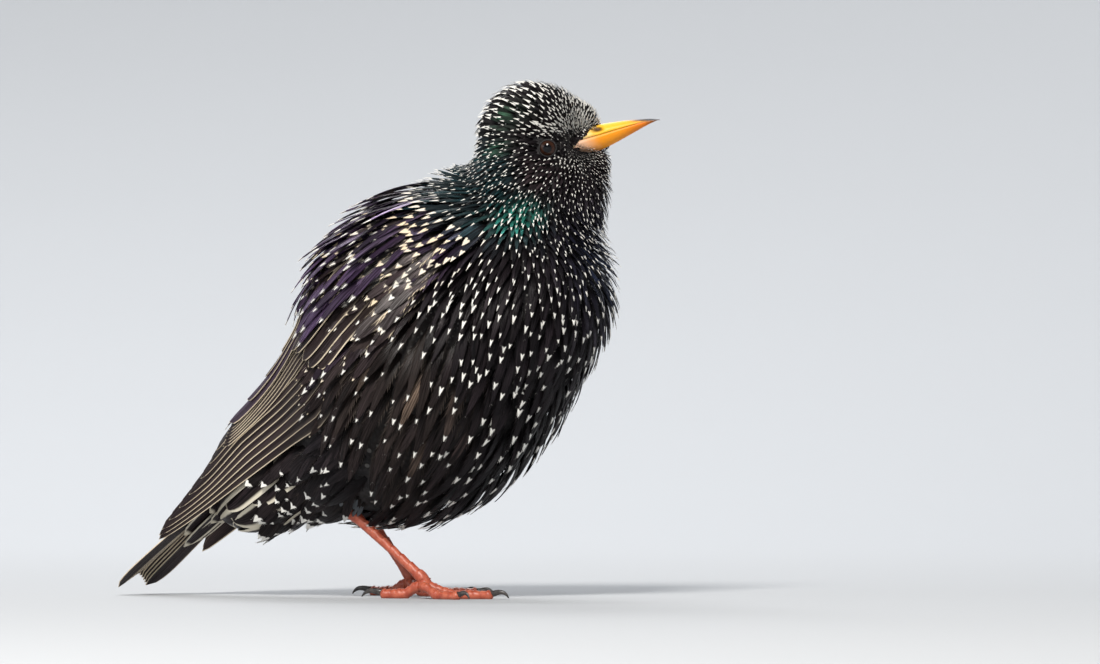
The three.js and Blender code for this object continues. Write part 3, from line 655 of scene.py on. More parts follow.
# %% The planting tree
def planting_tree():
    tree = bpy.data.node_groups.new("plant feathers", "GeometryNodeTree")
    face = tree.interface
    face.new_socket("Geometry", in_out="INPUT", socket_type="NodeSocketGeometry")
    face.new_socket("Feather", in_out="INPUT", socket_type="NodeSocketObject")
    face.new_socket("Patch", in_out="INPUT", socket_type="NodeSocketFloat")
    face.new_socket("Material", in_out="INPUT", socket_type="NodeSocketMaterial")
    face.new_socket("Geometry", in_out="OUTPUT", socket_type="NodeSocketGeometry")
    given = tree.nodes.new("NodeGroupInput")

    def named(name, kind="FLOAT_VECTOR"):
        return add_node(tree, "GeometryNodeInputNamedAttribute", {"Name": name}, data_type=kind).outputs[0]

    feather = add_node(tree, "GeometryNodeObjectInfo", {"Object": given.outputs["Feather"]})
    turn = add_node(tree, "FunctionNodeEulerToRotation", {"Euler": named("turn")})
    plant = add_node(
        tree,
        "GeometryNodeInstanceOnPoints",
        {
            "Points": given.outputs["Geometry"],
            "Instance": feather.outputs["Geometry"],
            "Rotation": turn.outputs[0],
            "Scale": named("size"),
        },
    )
    real = add_node(tree, "GeometryNodeRealizeInstances", {"Geometry": plant.outputs[0]})
    along = named("along", "FLOAT")
    bend = times(tree, along, along)
    offset = add_node(tree, "ShaderNodeVectorMath", {0: named("sag"), "Scale": bend}, operation="SCALE")
    bent = add_node(
        tree,
        "GeometryNodeSetPosition",
        {"Geometry": real.outputs[0], "Offset": offset.outputs[0]},
    )
    centred = add_node(
        tree, "ShaderNodeVectorMath", {0: named("vane"), 1: (0.5, 0.5, 0)}, operation="SUBTRACT"
    )
    patch = add_node(
        tree,
        "ShaderNodeVectorMath",
        {0: centred.outputs[0], "Scale": given.outputs["Patch"]},
        operation="SCALE",
    )
    place = add_node(
        tree, "ShaderNodeVectorMath", {0: named("root_uv"), 1: patch.outputs[0]}, operation="ADD"
    )
    geometry = add_node(
        tree,
        "GeometryNodeStoreNamedAttribute",
        {"Geometry": bent.outputs[0], "Name": "OFBake", "Value": place.outputs[0]},
        data_type="FLOAT2",
        domain="CORNER",
    )
    for name in ("turn", "size", "sag", "along", "root_uv"):
        geometry = add_node(
            tree, "GeometryNodeRemoveAttribute", {"Geometry": geometry.outputs[0], "Name": name}
        )
    finish = add_node(
        tree,
        "GeometryNodeSetMaterial",
        {"Geometry": geometry.outputs[0], "Material": given.outputs["Material"]},
    )
    out = tree.nodes.new("NodeGroupOutput")
    tree.links.new(finish.outputs[0], out.inputs[0])
    return tree


PLANTING = planting_tree()
PATCH = 0.003


def plant(name, template, rows, material):
    """rows: arrays by attribute name, and root, all in the bird's frame."""
    cloud = make_object(name, to_scene(rows["root"]), [])
    for key, values in rows.items():
        if key != "root":
            add_values(cloud, key, values)
    modifier = cloud.modifiers.new("plant", "NODES")
    modifier.node_group = PLANTING
    values = {"Feather": template, "Patch": PATCH, "Material": material}
    for item in PLANTING.interface.items_tree:
        if item.in_out == "INPUT" and item.name in values:
            modifier[item.identifier] = values[item.name]
    cloud.data = evaluated_mesh(cloud, name)
    cloud.modifiers.clear()
    print(name, len(rows["root"]), "feathers", triangles(cloud.data), "triangles")
    return cloud


# %% [markdown]
# A starling's plumage changes all over the body: tiny speckled feathers round the bill, narrow
# hackles on throat and breast, broad dark feathers on the back, and soft brown ones over the flank.
# So each measure of a feather is a smooth function of where its root is.

# %% Measures of the coat at any place
NAPE_AT = from_head((-4, 0, -13))[0]
NAPE_WAY = unit(HEAD_TURN @ np.array((5.0, 0, 10)))
BILL_BASE = np.array((9.0, 0, -3.0))
RUFF_AT = np.array((60.0, 0, 104))
SHAG_AT = np.array((-8.0, 0, 104))
THIGH_SEEN = 0.16
LORES_BARE = 1.7
PATCH_AT, PATCH_SIZE = (-12, 20, -17), (6.5, 8, 4.0)
THIGH_OWN = {"length": 5, "spacing": 1.3, "mark": 2.6, "level": 0.4, "width": 1.5, "lift": 10}


def blend_by(share, low, high):
    """Low where share is nought and high where it is one; both may be colours."""
    low, high = np.asarray(low, float), np.asarray(high, float)
    if low.ndim == 2:
        share = share[:, None]
    return (1 - share) * low + share * high


def near_line(head, a, b, radius):
    """One on a line on the side of the head from a to b, each x and z, and nought away from it."""
    flat, run = head[:, [0, 2]], np.subtract(b, a)
    share = np.clip((flat - a) @ run / (run @ run), 0, 1)
    far = np.linalg.norm(flat - a - share[:, None] * run, axis=1)
    return np.exp(-((far / radius) ** 2))


def bump_at(points, centre, radius):
    """One at the centre, falling softly to nought some way past the radius."""
    far = np.linalg.norm((points - np.array(centre)) / radius, axis=1)
    return np.exp(-far * far)


def in_lores(head):
    """One in the black patch between bill and eye."""
    return bump_at(head * (1, 0, 1), (7.3, 0, -2.8), (5.2, 9, 2.0))


def over_wing(points):
    """How far the feathers of the flank lie over the folded wing, from 0 to 1."""
    t, b = wing_place(points)
    edge = np.interp(t, [70, 90, 116, 126, 130, 136, 142], [-4, 7, 6, 6, 14, 34, 60])
    return smooth(t, 72, 80) * smooth(152 - t, 0, 12) * smooth(edge + 3 - b, 0, 4) * smooth(b, -36, -10)


def under_wing(points):
    """How much a place is hidden by the wing, from 0 to 1."""
    t, b = wing_place(points)
    top = (math.pi / 2 - lead_angle(t)) * spread(t)
    top = np.where(t < 88, top + 2, np.interp(t, [84, 130], [33, 25]))
    return smooth(b, -5, -1) * smooth(top - b, 0, 3) * smooth(127 - t, 0, 7) * smooth(t, -12, -4)


def above_wing(points, height):
    """Points moved out to a height over the wing's sheet, where they lie lower than that."""
    start = points - AXIS_AT
    t, up = start @ AXIS, start @ AXIS_UP
    radius = np.hypot(up, points[:, 1])
    short = np.maximum(0, wing_radius(t, np.arctan2(up, np.abs(points[:, 1]))) + height - radius)
    out = unit(up[:, None] * AXIS_UP + points[:, 1:2] * (0, 1, 0))
    return points + short[:, None] * out


def from_thighs(points):
    """How far points are from the lower ends of the thighs, seen from beside and a little in front."""
    nearest = np.full(len(points), 99.0)
    for side, ankle in ANKLES.items():
        view = np.array((math.sin(VIEW_TURN), side * math.cos(VIEW_TURN), 0))
        flat = np.eye(3) - np.outer(view, view)
        run = THIGH_RUN * (1, side, 1)
        share = np.clip((points - ankle) @ flat @ run / (run @ flat @ run), -0.1, THIGH_SEEN)
        radius = thigh_radius(share)
        gap = np.linalg.norm((points - ankle - share[:, None] * run) @ flat, axis=1) - radius
        gap[(points @ view) < ankle @ view - 6] = 99
        nearest = np.minimum(nearest, gap)
    return nearest


def on_thighs(points):
    """How much places belong to the thighs, from 0 to 1."""
    return np.maximum(smooth(plumage(points), 0.3, 2.5), smooth(-from_thighs(points), -0.8, 0.4))


def one_side(head):
    """Places of the head's frame, with those on its right side mirrored to the left."""
    return np.stack([head[:, 0], np.abs(head[:, 1]), head[:, 2]], axis=1)


def measures(points):
    """The measures in millimetres and the colours of the coat at each point."""
    head = to_head(points)
    down = -(points - NAPE_AT) @ NAPE_WAY
    normal = outward(points)
    face = np.linalg.norm(head - BILL_BASE, axis=1)
    body = smooth(down, -3, 26)
    low = smooth(down, 14, 64)
    back = smooth(normal @ unit(np.array((-0.5, 0, 0.85))), 0.25, 0.7) * smooth(down, 3, 14)
    ruff = bump_at(points, RUFF_AT, 17)
    flank = over_wing(points)
    vent = smooth(-points[:, 0] - 0.4 * (points[:, 2] - 30), 0, 22) * smooth(60 - points[:, 2], 0, 12)
    belly = smooth(-normal[:, 2], 0.1, 0.8) * smooth(down, 30, 60)
    fine = smooth(face, 3, 21)
    crown = smooth(head[:, 2], 3, 10) * smooth(8 - head[:, 0], 0, 7)
    pale = np.maximum(near_line(head, (-0.5, 4.6), (13, 0.5), 1.7), near_line(head, (1.5, -5), (8, -9), 1.5))
    front = smooth(head[:, 2], -1.5, 2) * smooth(head[:, 0], -4, 5)
    patch = bump_at(one_side(head), PATCH_AT, PATCH_SIZE)
    shag = bump_at(points, SHAG_AT, 24)
    brown = flank * smooth(126 - wing_place(points)[0], 0, 14)
    thigh = on_thighs(points)
    tail_root = vent * smooth(-33 - points[:, 0], 0, 5)
    rump = back * smooth(-points[:, 0], 20, 36)
    sizes = {
        "length": blend_by(body, 1.5 + 3.4 * fine + 1.6 * crown, 8.5 + 8.5 * low) + 5 * shag,
        "spacing": blend_by(body, 0.42 + 0.7 * fine + 0.25 * crown, 1.9 + 2.2 * low),
        "mark": blend_by(body, 0.36 + 0.36 * fine + 0.6 * crown + 0.6 * pale + 0.5 * front, 1.3 + 0.65 * low),
        "level": blend_by(body, 0.1 + 0.8 * fine + 1.5 * crown, 1.0 + 1.6 * low),
        "lift": blend_by(body, 10 + 16 * fine + 26 * crown, 14 + 6 * low) + 14 * ruff + 8 * belly,
    }
    sizes["width"] = sizes["spacing"] * blend_by(body, 0.95 + 0.1 * fine, 1.3 - 0.2 * low)
    sizes["width"] += 0.9 * back * (1 - 0.5 * low) + 0.4 * brown + 0.6 * vent
    sizes["spacing"] += 0.7 * back * (1 - low) + 0.7 * brown - 1.1 * vent
    sizes["length"] += 4 * brown - 3 * vent - 6 * rump
    sizes["level"] += 3.8 * ruff + 1.5 * belly + 2.5 * shag + 1.2 * (1 - low) * flank
    sizes["lift"] += 12 * shag - 10 * rump
    sizes["mark"] += 0.3 * back - 0.4 * brown - 0.3 * vent + 0.6 * patch
    for key, own in THIGH_OWN.items():
        sizes[key] = blend_by(thigh, sizes[key], own)
    return sizes, {
        "head": head, "down": down, "normal": normal, "face": face, "body": body, "low": low,
        "back": back, "ruff": ruff, "flank": flank, "vent": vent, "belly": belly, "brown": brown,
        "thigh": thigh, "shag": shag, "tail_root": tail_root, "patch": patch,
    }


# Which way the coat lies: away from the bill over the head, round the eyes, down and back over the
# body, and down each thigh to the ankle
def lie(points):
    forward = smooth(points[:, 0] + 0.35 * (points[:, 2] - 90), 0, 42)
    low = 1 - smooth(points[:, 2], 45, 92)
    body = np.stack(
        [
            -0.82 + 0.77 * forward - 0.4 * low * forward,
            np.sign(points[:, 1]) * 0.12 * forward,
            -0.57 - 0.43 * forward,
        ],
        axis=1,
    )
    from_bill = (to_head(points) - BILL_BASE) @ HEAD_TURN.T
    share = smooth(-(points - NAPE_AT) @ NAPE_WAY, -8, 16)[:, None]
    way = (1 - share) * unit(from_bill) + share * unit(body)
    off, away = from_eye(points)
    inward = np.maximum(0, -(way * off).sum(axis=1)) * smooth(7 - away, 0, 3)
    way = way + off * (1.2 * inward)[:, None]
    side = np.sign(points[:, 1])[:, None]
    down_thigh = -THIGH_RUN * np.concatenate([side * 0 + 1, side, side * 0 + 1], axis=1)
    on_thigh = on_thighs(points)
    return unit(blend_by(on_thigh, way, unit(down_thigh)))


def from_eye(points):
    """The way from the axis through the eyes, and how far from it, for points of the head."""
    off = to_head(points) - (EYE["x"], 0, EYE["z"])
    off[:, 1] = 0
    away = np.linalg.norm(off, axis=1)
    away[to_head(points)[:, 2] < -25] = 99
    return unit(off) @ HEAD_TURN.T, away


# %% [markdown]
# The colours follow the bird too. The sheen of a starling is the colour of its highlights, so it is
# kept apart from the dark pigment: purple over back and shoulders, green on the sides of the crown,
# and one bright emerald patch low on the side of the neck. Some back and shoulder feathers take a
# pale lilac sheen that is partly painted highlight.

# %% Colours of the coat at any place
PURPLE = (0.19, 0.10, 0.25)
# Pale lilac: the iridescence of some feathers together with a painted highlight
LILAC_SHEEN_AND_PAINTED_HIGHLIGHT = (0.50, 0.36, 0.60)
BRONZE = (0.10, 0.07, 0.08)
BLUE = (0.02, 0.045, 0.11)
GREEN = (0.07, 0.24, 0.13)
EMERALD = (0.09, 0.62, 0.47)
TEAL = (0.012, 0.085, 0.10)
# Silver-grey: the forehead's own pale feathering, and a painted highlight on some wing coverts
SILVER_AND_PAINTED_HIGHLIGHT = (0.26, 0.24, 0.235)
PINK = (0.16, 0.10, 0.105)
WARM = (0.22, 0.155, 0.115)
THIGH_GREY = (0.11, 0.12, 0.13)
# Pale grey: soft fluff over the coverts, partly painted highlight
FLUFF_AND_PAINTED_HIGHLIGHT = (0.42, 0.40, 0.38)
WHITE = (0.80, 0.78, 0.73)
CREAM = (0.76, 0.62, 0.43)


def coat_colors(points, places):
    """Sheen with its strength, colour of the tip, and share of brown pigment."""
    head, down, back = places["head"], places["down"], places["back"]
    count = len(points)
    sheen = np.tile(np.array(BRONZE), (count, 1))
    strength = 0.07 + 0.01 * places["low"]
    place = one_side(head)
    layers = [
        (places["ruff"], BLUE, 0.45),
        (back, PURPLE, 0.4),
        # Some back feathers: pale lilac sheen, partly painted highlight
        (back * rng.random(count) ** 3, LILAC_SHEEN_AND_PAINTED_HIGHLIGHT, 0.5),
        (smooth(down, -20, -6) * (1 - smooth(down, 8, 20)) * smooth(-head[:, 0], 4, 12), TEAL, 0.25),
        (bump_at(place, (-5, 8, 9), (6, 5, 3)) * 0.8, GREEN, 0.5),
        (bump_at(place, (-11, 10, 2), (4, 6, 1.8)) * 0.8, GREEN, 0.6),
        (bump_at(place, (-4, 11, -9), (6, 6, 4)) * 0.8, PINK, 0.45),
        (places["patch"], EMERALD, 1.0),
        (smooth(9.5 - places["face"], 0, 6) * (1 - np.minimum(1, LORES_BARE * in_lores(head))), SILVER_AND_PAINTED_HIGHLIGHT, 0.4),
        (places["brown"] * (rng.random(count) < 0.08), WARM, 0.4),
    ]
    for share, color, power in layers:
        sheen = blend_by(share, sheen, color)
        strength = strength * (1 - share) + share * power
    strength = strength * (0.45 + 1.7 * rng.random(count) ** 3)
    tip = blend_by(back * smooth(down, 3, 14) * (1 - smooth(down, 20, 40)), np.tile(WHITE, (count, 1)), CREAM)
    tip = blend_by(places["thigh"], tip, THIGH_GREY)
    brown = np.clip(0.1 + 0.9 * places["brown"] + 0.3 * places["vent"] + 0.4 * places["thigh"], 0, 1)
    gloss = np.concatenate([sheen, strength[:, None]], axis=1)
    return gloss, np.concatenate([tip, np.ones((count, 1))], axis=1), brown


# %% Choose the roots
TRIES_EACH = 9
EYE_CLEAR = 3.0


def skin_triangles():
    skin.data.calc_loop_triangles()
    index = np.zeros(len(skin.data.loop_triangles) * 3, int)
    skin.data.loop_triangles.foreach_get("vertices", index)
    return point_places(skin)[index.reshape(-1, 3)] / MM - SHIFT


def in_face_parts(points):
    """Whether points lie in the eyes' openings or inside the root of the bill."""
    head = to_head(points)
    narrow = np.abs(head[:, 1]) < 4.5 - 0.25 * head[:, 0]
    in_bill = narrow & (head[:, 0] > 7) & (np.abs(head[:, 2] + 4) < 4.2)
    return (from_eye(points)[1] < EYE_CLEAR) | in_bill


def thin_out(points, gap):
    """Which of the points keep their gap from every one chosen before them."""
    tree = KDTree(len(points))
    for i, point in enumerate(points):
        tree.insert(point, i)
    tree.balance()
    free = np.ones(len(points), bool)
    kept = []
    for i in range(len(points)):
        if free[i]:
            kept.append(i)
            for _, j, _ in tree.find_range(points[i], gap[i]):
                free[j] = False
    return kept


def scatter_roots():
    """Roots spread over the skin, as near to one another as each place wants them."""
    corners = skin_triangles()
    centres = corners.mean(axis=1)
    area = np.linalg.norm(np.cross(corners[:, 1] - corners[:, 0], corners[:, 2] - corners[:, 0]), axis=1) / 2
    spacing = measures(centres)[0]["spacing"]
    want = area / (0.8 * spacing**2)
    hidden = (under_wing(centres) > 0.7) & (over_wing(centres) < 0.05)
    want[hidden | in_face_parts(centres)] = 0
    tries = int(want.sum() * TRIES_EACH)
    chosen = rng.choice(len(corners), tries, p=want / want.sum())
    a, b = rng.random((2, tries, 1))
    flip = a + b > 1
    a, b = np.where(flip, 1 - a, a), np.where(flip, 1 - b, b)
    tri = corners[chosen]
    points = tri[:, 0] + a * (tri[:, 1] - tri[:, 0]) + b * (tri[:, 2] - tri[:, 0])
    return points[thin_out(points, measures(points)[0]["spacing"])]


coat_roots = scatter_roots()
print("roots", len(coat_roots))


# %% Lay a feather from each root
OVER_WING = 5.6
UNMARKED = 0.22
EYE_TIPS_CLEAR = 2.5
THIGH_CLEAR = 0.4
LAY_STEPS = 4


def lay_between(roots, tips, normal, lift, width, roll):
    """Turn, size and sag of feathers that start lifted off the line to their tips."""
    run = tips - roots
    length = np.linalg.norm(run, axis=1)
    width = width * np.ones(len(roots))
    out = unit(unit(run) * np.cos(lift)[:, None] + normal * np.sin(lift)[:, None])
    across = unit(np.cross(out, normal))
    up = np.cross(across, out)
    across = across * np.cos(roll)[:, None] + up * np.sin(roll)[:, None]
    up = np.cross(across, out)
    turn = [
        np.arctan2(out[:, 2], up[:, 2]),
        -np.arcsin(np.clip(across[:, 2], -1, 1)),
        np.arctan2(across[:, 1], across[:, 0]),
    ]
    uv = bake_place(to_scene(roots))
    return {
        "root": roots,
        "turn": np.stack(turn, axis=1),
        "size": np.stack([width, length, width], axis=1) * MM,
        "sag": (run - out * length[:, None]) * MM,
        "root_uv": np.concatenate([uv, np.zeros((len(uv), 1))], axis=1),
        "shade": rng.random(len(roots)),
    }


def feather_rows(roots):
    sizes, places = measures(roots)
    count = len(roots)
    length = sizes["length"] * rng.uniform(0.84, 1.14, count)
    swing = rng.normal(0, 0.09, count)
    level = sizes["level"] * rng.uniform(0.55, 1.25, count)
    place = roots.copy()
    for step in range(1, LAY_STEPS + 1):
        n = outward(place, with_thighs)
        way = lie(place)
        way = unit(way - (way * n).sum(1, keepdims=True) * n)
        aside = np.cross(n, way)
        way = way * np.cos(swing)[:, None] + aside * np.sin(swing)[:, None]
        place = place + way * (length / LAY_STEPS)[:, None]
        over = SKIN_LEVEL + (level - SKIN_LEVEL) * (step / LAY_STEPS)
        place = settle(place, over, with_thighs)
        height = OVER_WING * rng.uniform(0.85, 1.15, count) * min(1, 2 * step / LAY_STEPS)
        place = blend_by(places["flank"] * (1 - places["thigh"]), place, above_wing(place, height))
    lift = np.radians(sizes["lift"] * rng.uniform(0.6, 1.3, count))
    width = sizes["width"] * rng.uniform(0.85, 1.15, count)
    roll = rng.normal(0, 0.16, count)
    rows = lay_between(roots, place, outward(roots, with_thighs), lift, width, roll)
    rows["gloss"], rows["tip_color"], rows["brown"] = coat_colors(roots, places)
    rows["mark"] = sizes["mark"] * rng.uniform(0.7, 1.3, count) / length
    rows["mark"] *= rng.random(count) > UNMARKED * places["low"] * (1 - places["vent"])
    rows["mark"] *= rng.random(count) > LORES_BARE * in_lores(places["head"])
    clear = from_eye(place)[1] > EYE_TIPS_CLEAR
    clear &= from_eye((place + roots) / 2)[1] > EYE_TIPS_CLEAR
    off_thigh = from_thighs(place) > THIGH_CLEAR
    off_thigh &= from_thighs(0.3 * roots + 0.7 * place) > THIGH_CLEAR
    clear &= off_thigh | (places["thigh"] > 0.3)
    clear &= rng.random(count) > places["tail_root"]
    rows = {key: values[clear] for key, values in rows.items()}
    return rows, {key: values[clear] for key, values in places.items()}


# %% [markdown]
# Each feather has the same marks, whatever its size: a pale tip that the dark shaft splits into a
# little heart, a duller fluffy root, and barbs that run out from the shaft at a slant. One shader
# group draws them from the vane map, so every tract can use it with its own amounts.

# %% The marks of a feather
def socket_group(name, inputs, outputs):
    tree = bpy.data.node_groups.new(name, "ShaderNodeTree")
    for label, kind, value in inputs:
        made = tree.interface.new_socket(label, in_out="INPUT", socket_type="NodeSocket" + kind)
        if value is not None:
            made.default_value = value
    for label, kind in outputs:
        tree.interface.new_socket(label, in_out="OUTPUT", socket_type="NodeSocket" + kind)
    return tree, tree.nodes.new("NodeGroupInput").outputs, tree.nodes.new("NodeGroupOutput").inputs


def make_marks_group():
    tree, given, out = socket_group(
        "feather marks",
        [
            ("Vane", "Vector", None),
            ("Shade", "Float", 0.5),
            ("Mark", "Float", 0.1),
            ("Notch", "Float", 0.2),
            ("Barbs", "Float", 14.0),
            ("Slant", "Float", 3.0),
        ],
        [("Tip", "Float"), ("Edge", "Float"), ("Root", "Float"), ("Streak", "Float"), ("Height", "Float")],
    )
    parts = add_node(tree, "ShaderNodeSeparateXYZ", {0: given["Vane"]}).outputs
    aside = math_node(tree, "ABSOLUTE", math_node(tree, "SUBTRACT", parts[0], 0.5))
    shaft = one_minus(tree, ramp(tree, aside, 0.0, 0.13))
    notch = times(tree, times(tree, given["Mark"], given["Notch"]), shaft)
    lobe = times(tree, times(tree, given["Mark"], 0.4), ramp(tree, aside, 0.25, 0.5))
    start = math_node(tree, "ADD", one_minus(tree, given["Mark"]), notch)
    start = math_node(tree, "ADD", start, lobe)
    past = math_node(tree, "SUBTRACT", parts[1], start)
    tree.links.new(ramp(tree, past, -0.012, 0.012), out["Tip"])
    tree.links.new(ramp(tree, aside, 0.3, 0.5), out["Edge"])
    tree.links.new(one_minus(tree, ramp(tree, parts[1], 0.1, 0.5)), out["Root"])
    across = times(tree, aside, given["Barbs"])
    run = math_node(tree, "SUBTRACT", across, times(tree, parts[1], given["Slant"]))
    own = times(tree, given["Shade"], 40.0)
    slow = times(tree, parts[1], 2.0)
    place = add_node(tree, "ShaderNodeCombineXYZ", {0: run, 1: slow, 2: own}).outputs[0]
    streak = noise(tree, place, 1.0, 3.0)
    streak = ramp(tree, streak, 0.3, 0.7)
    tree.links.new(streak, out["Streak"])
    ridge = one_minus(tree, ramp(tree, aside, 0.0, 0.05))
    tree.links.new(math_node(tree, "ADD", streak, ridge), out["Height"])
    return tree


MARKS = make_marks_group()


def feather_material(name, dark, brown, barbs, roughness=0.33, specular=0.09):
    material, tree, shader = new_material(name)
    vane = add_node(tree, "ShaderNodeUVMap", uv_map="vane").outputs[0]
    marks = add_node(tree, "ShaderNodeGroup", node_tree=MARKS)
    tree.links.new(vane, marks.inputs["Vane"])
    tree.links.new(factor(tree, "mark"), marks.inputs["Mark"])
    marks.inputs["Barbs"].default_value = barbs
    gloss = attribute(tree, "gloss")
    shade = factor(tree, "shade")
    tree.links.new(shade, marks.inputs["Shade"])
    pigment = mix_color(tree, factor(tree, "brown"), (*dark, 1), (*brown, 1))
    dim = add_node(
        tree, "ShaderNodeMapRange", {"Value": shade, "To Min": 0.5, "To Max": 1.5}
    ).outputs["Result"]
    lines = math_node(tree, "ADD", 0.45, marks.outputs["Streak"])
    dim = times(tree, dim, lines)
    pigment = add_node(tree, "ShaderNodeVectorMath", {0: pigment, "Scale": dim}, operation="SCALE").outputs[0]
    open_part = one_minus(tree, marks.outputs["Root"])
    sheen = times(tree, gloss.outputs["Alpha"], open_part)
    sheen = times(tree, sheen, times(tree, lines, lines))
    color = mix_color(tree, times(tree, sheen, 0.75), pigment, gloss.outputs["Color"])
    fringe = times(tree, marks.outputs["Edge"], factor(tree, "brown"))
    color = mix_color(tree, times(tree, fringe, 0.55), color, (*FRINGE_BROWN, 1))
    color = mix_color(tree, marks.outputs["Tip"], color, attribute(tree, "tip_color").outputs["Color"])
    tree.links.new(color, shader.inputs["Base Color"])
    bare = one_minus(tree, marks.outputs["Tip"])
    metal = times(tree, times(tree, sheen, 0.85), bare)
    tree.links.new(metal, shader.inputs["Metallic"])
    rough = add_node(
        tree, "ShaderNodeMapRange", {"Value": shade, "To Min": roughness - 0.08, "To Max": roughness + 0.1}
    )
    tree.links.new(rough.outputs["Result"], shader.inputs["Roughness"])
    add_bump(tree, shader, marks.outputs["Height"], 0.5)
    shader.inputs["Specular IOR Level"].default_value = specular
    return material


BLACK = (0.0045, 0.0038, 0.005)
DARK_BROWN = (0.015, 0.011, 0.0095)
FRINGE_BROWN = (0.10, 0.08, 0.066)
DOWN_GREY = (0.03, 0.027, 0.027)
coat_material = feather_material("glossy body feather", BLACK, DARK_BROWN, 16)


# %% [markdown]
# The skin shows only between feathers. It is dark down with the same marks as the coat: pale spots,
# small on the head and larger on the body, over the same sheen and brown.

# %% Material of the skin
def down_material():
    material, tree, shader = new_material("dark down")
    place = add_node(tree, "ShaderNodeTexCoord").outputs["Object"]
    down = noise(tree, place, 900.0, 4.0)
    gloss = attribute(tree, "gloss")
    color = mix_color(tree, factor(tree, "brown"), (*BLACK, 1), (*DARK_BROWN, 1))
    color = mix_color(tree, times(tree, gloss.outputs["Alpha"], 0.3), color, gloss.outputs["Color"])
    color = mix_color(tree, ramp(tree, down, 0.4, 0.75), color, (*DOWN_GREY, 1))
    spots = []
    for apart, size in ((0.0014, 0.2), (0.0040, 0.16)):
        inputs = {"Vector": place, "Scale": 1 / apart, "Randomness": 0.6}
        cells = add_node(tree, "ShaderNodeTexVoronoi", inputs)
        spots.append(one_minus(tree, ramp(tree, cells.outputs["Distance"], size, size + 0.06)))
    low = factor(tree, "low")
    spot = add_node(tree, "ShaderNodeMix", {0: low, 2: spots[0], 3: spots[1]}, data_type="FLOAT").outputs[0]
    fade = math_node(tree, "SUBTRACT", 0.6, times(tree, low, 0.45))
    spot = times(tree, spot, fade)
    color = mix_color(tree, spot, color, attribute(tree, "tip_color").outputs["Color"])
    tree.links.new(color, shader.inputs["Base Color"])
    add_bump(tree, shader, down, 0.5, 0.0002)
    shader.inputs["Roughness"].default_value = 0.85
    return material


def color_skin():
    points = point_places(skin) / MM - SHIFT
    places = measures(points)[1]
    gloss, tip, brown = coat_colors(points, places)
    for key, values in (("gloss", gloss), ("tip_color", tip), ("brown", brown), ("low", places["low"])):
        add_values(skin, key, values)


color_skin()
skin.data.materials.append(down_material())

# %% Plant the coat
TEMPLATES = {
    "speck": feather_template("speck", 4, 0.3, 1.5),
    "hackle": feather_template("hackle", 6, 0.3, 1.3, 0.8, 6),
    "lance": feather_template("lance", 8, 0.45, 1.9, 0.7, 12),
    "broad": feather_template("broad", 8, 0.6, 2.2, 0.85, 10),
}
rows, places = feather_rows(coat_roots)
on_left = rows["root"][:, 1] >= 0
is_head = places["down"] < -1
is_back = ~is_head & (places["back"] > 0.45)
is_neck = ~is_head & ~is_back & (places["down"] < 26)
is_vent = ~is_head & ~is_back & ~is_neck & ((places["vent"] > 0.4) | (places["thigh"] > 0.5))
is_body = ~is_head & ~is_back & ~is_neck & ~is_vent
coat = []
for name, template, wanted in (
    ("coat_head", "speck", is_head),
    ("coat_neck", "hackle", is_neck),
    ("coat_back", "broad", is_back),
    ("coat_vent", "broad", is_vent),
    ("coat_body_right", "lance", is_body & ~on_left),
    ("coat_body_left", "lance", is_body & on_left),
):
    chosen = {key: values[wanted] for key, values in rows.items()}
    coat.append(plant(name, TEMPLATES[template], chosen, coat_material))

# %% [markdown]
# Wing and tail feathers are long, stiff and laid in order, so they are not scattered. Each one is a
# thin closed vane on its sheet, with its own root, tip, edge and height. Its lower edge stands higher
# than its upper one, so that each vane lies over the next one down, as in a folded wing. The five
# greater coverts of a wing are laid in the same way, and its smaller coverts are planted.

# %% One long feather
VANE_THICK = 0.24
VANE_ACROSS = 5
VANE_ROOT = 0.7
SHAFT_RISE = 0.16
BUFF = (0.68, 0.57, 0.42)
PALE = (0.68, 0.62, 0.50)


def vane_outline(s, tip_round):
    """Share of the full width at a share of the length."""
    grow = VANE_ROOT + (1 - VANE_ROOT) * smooth(s, 0.0, 0.35)
    start = 1 - 0.34 * (1 - tip_round) - 0.05
    fall = np.clip((s - start) / (1 - start), 0, 1)
    return grow * np.sqrt(np.clip(1 - fall ** (1.7 + 1.2 * tip_round), 0.0, 1)) + 0.012


def long_vane(lay, t, lower, width, heights, tip_round=0.6, steps=20, lean=0.5, curl=0.0):
    """lay(t, b, h) places it; t and heights are (root, tip) and (lower edge, upper edge) pairs."""
    s = np.linspace(0, 1, steps + 1) ** 0.85
    share = vane_outline(s, tip_round)
    run = t[0] + (t[1] - t[0]) * s
    u = np.linspace(0, 1, VANE_ACROSS + 1)
    shaft = lean * width
    low = lower(run)
    left = low[:, None] + shaft * (1 - share[:, None]) + width * share[:, None] * u
    rise = heights[0] + (heights[1] - heights[0]) * (left - low[:, None]) / width
    rise = rise + SHAFT_RISE * np.exp(-(((u - lean) / 0.12) ** 2)) - curl * (2 * u - 1) ** 2 * share[:, None]
    grid_t = np.repeat(run[:, None], VANE_ACROSS + 1, axis=1)
    top = lay(grid_t, left, rise + VANE_THICK / 2)
    bottom = lay(grid_t, left, rise - VANE_THICK / 2)
    ring = np.concatenate([top, bottom[:, ::-1]], axis=1)
    n = ring.shape[1]
    faces = tube_faces(steps, n, caps=False)
    faces.append(tuple(range(n - 1, -1, -1)))
    faces.append(tuple(steps * n + j for j in range(n)))
    uv_ring = np.concatenate([u, u[::-1]])
    vane = np.stack([np.tile(uv_ring, steps + 1), np.repeat(s, n)], axis=1)
    length = abs(t[1] - t[0])
    return {"points": ring.reshape(-1, 3), "faces": faces, "vane": vane, "width": width, "length": length}


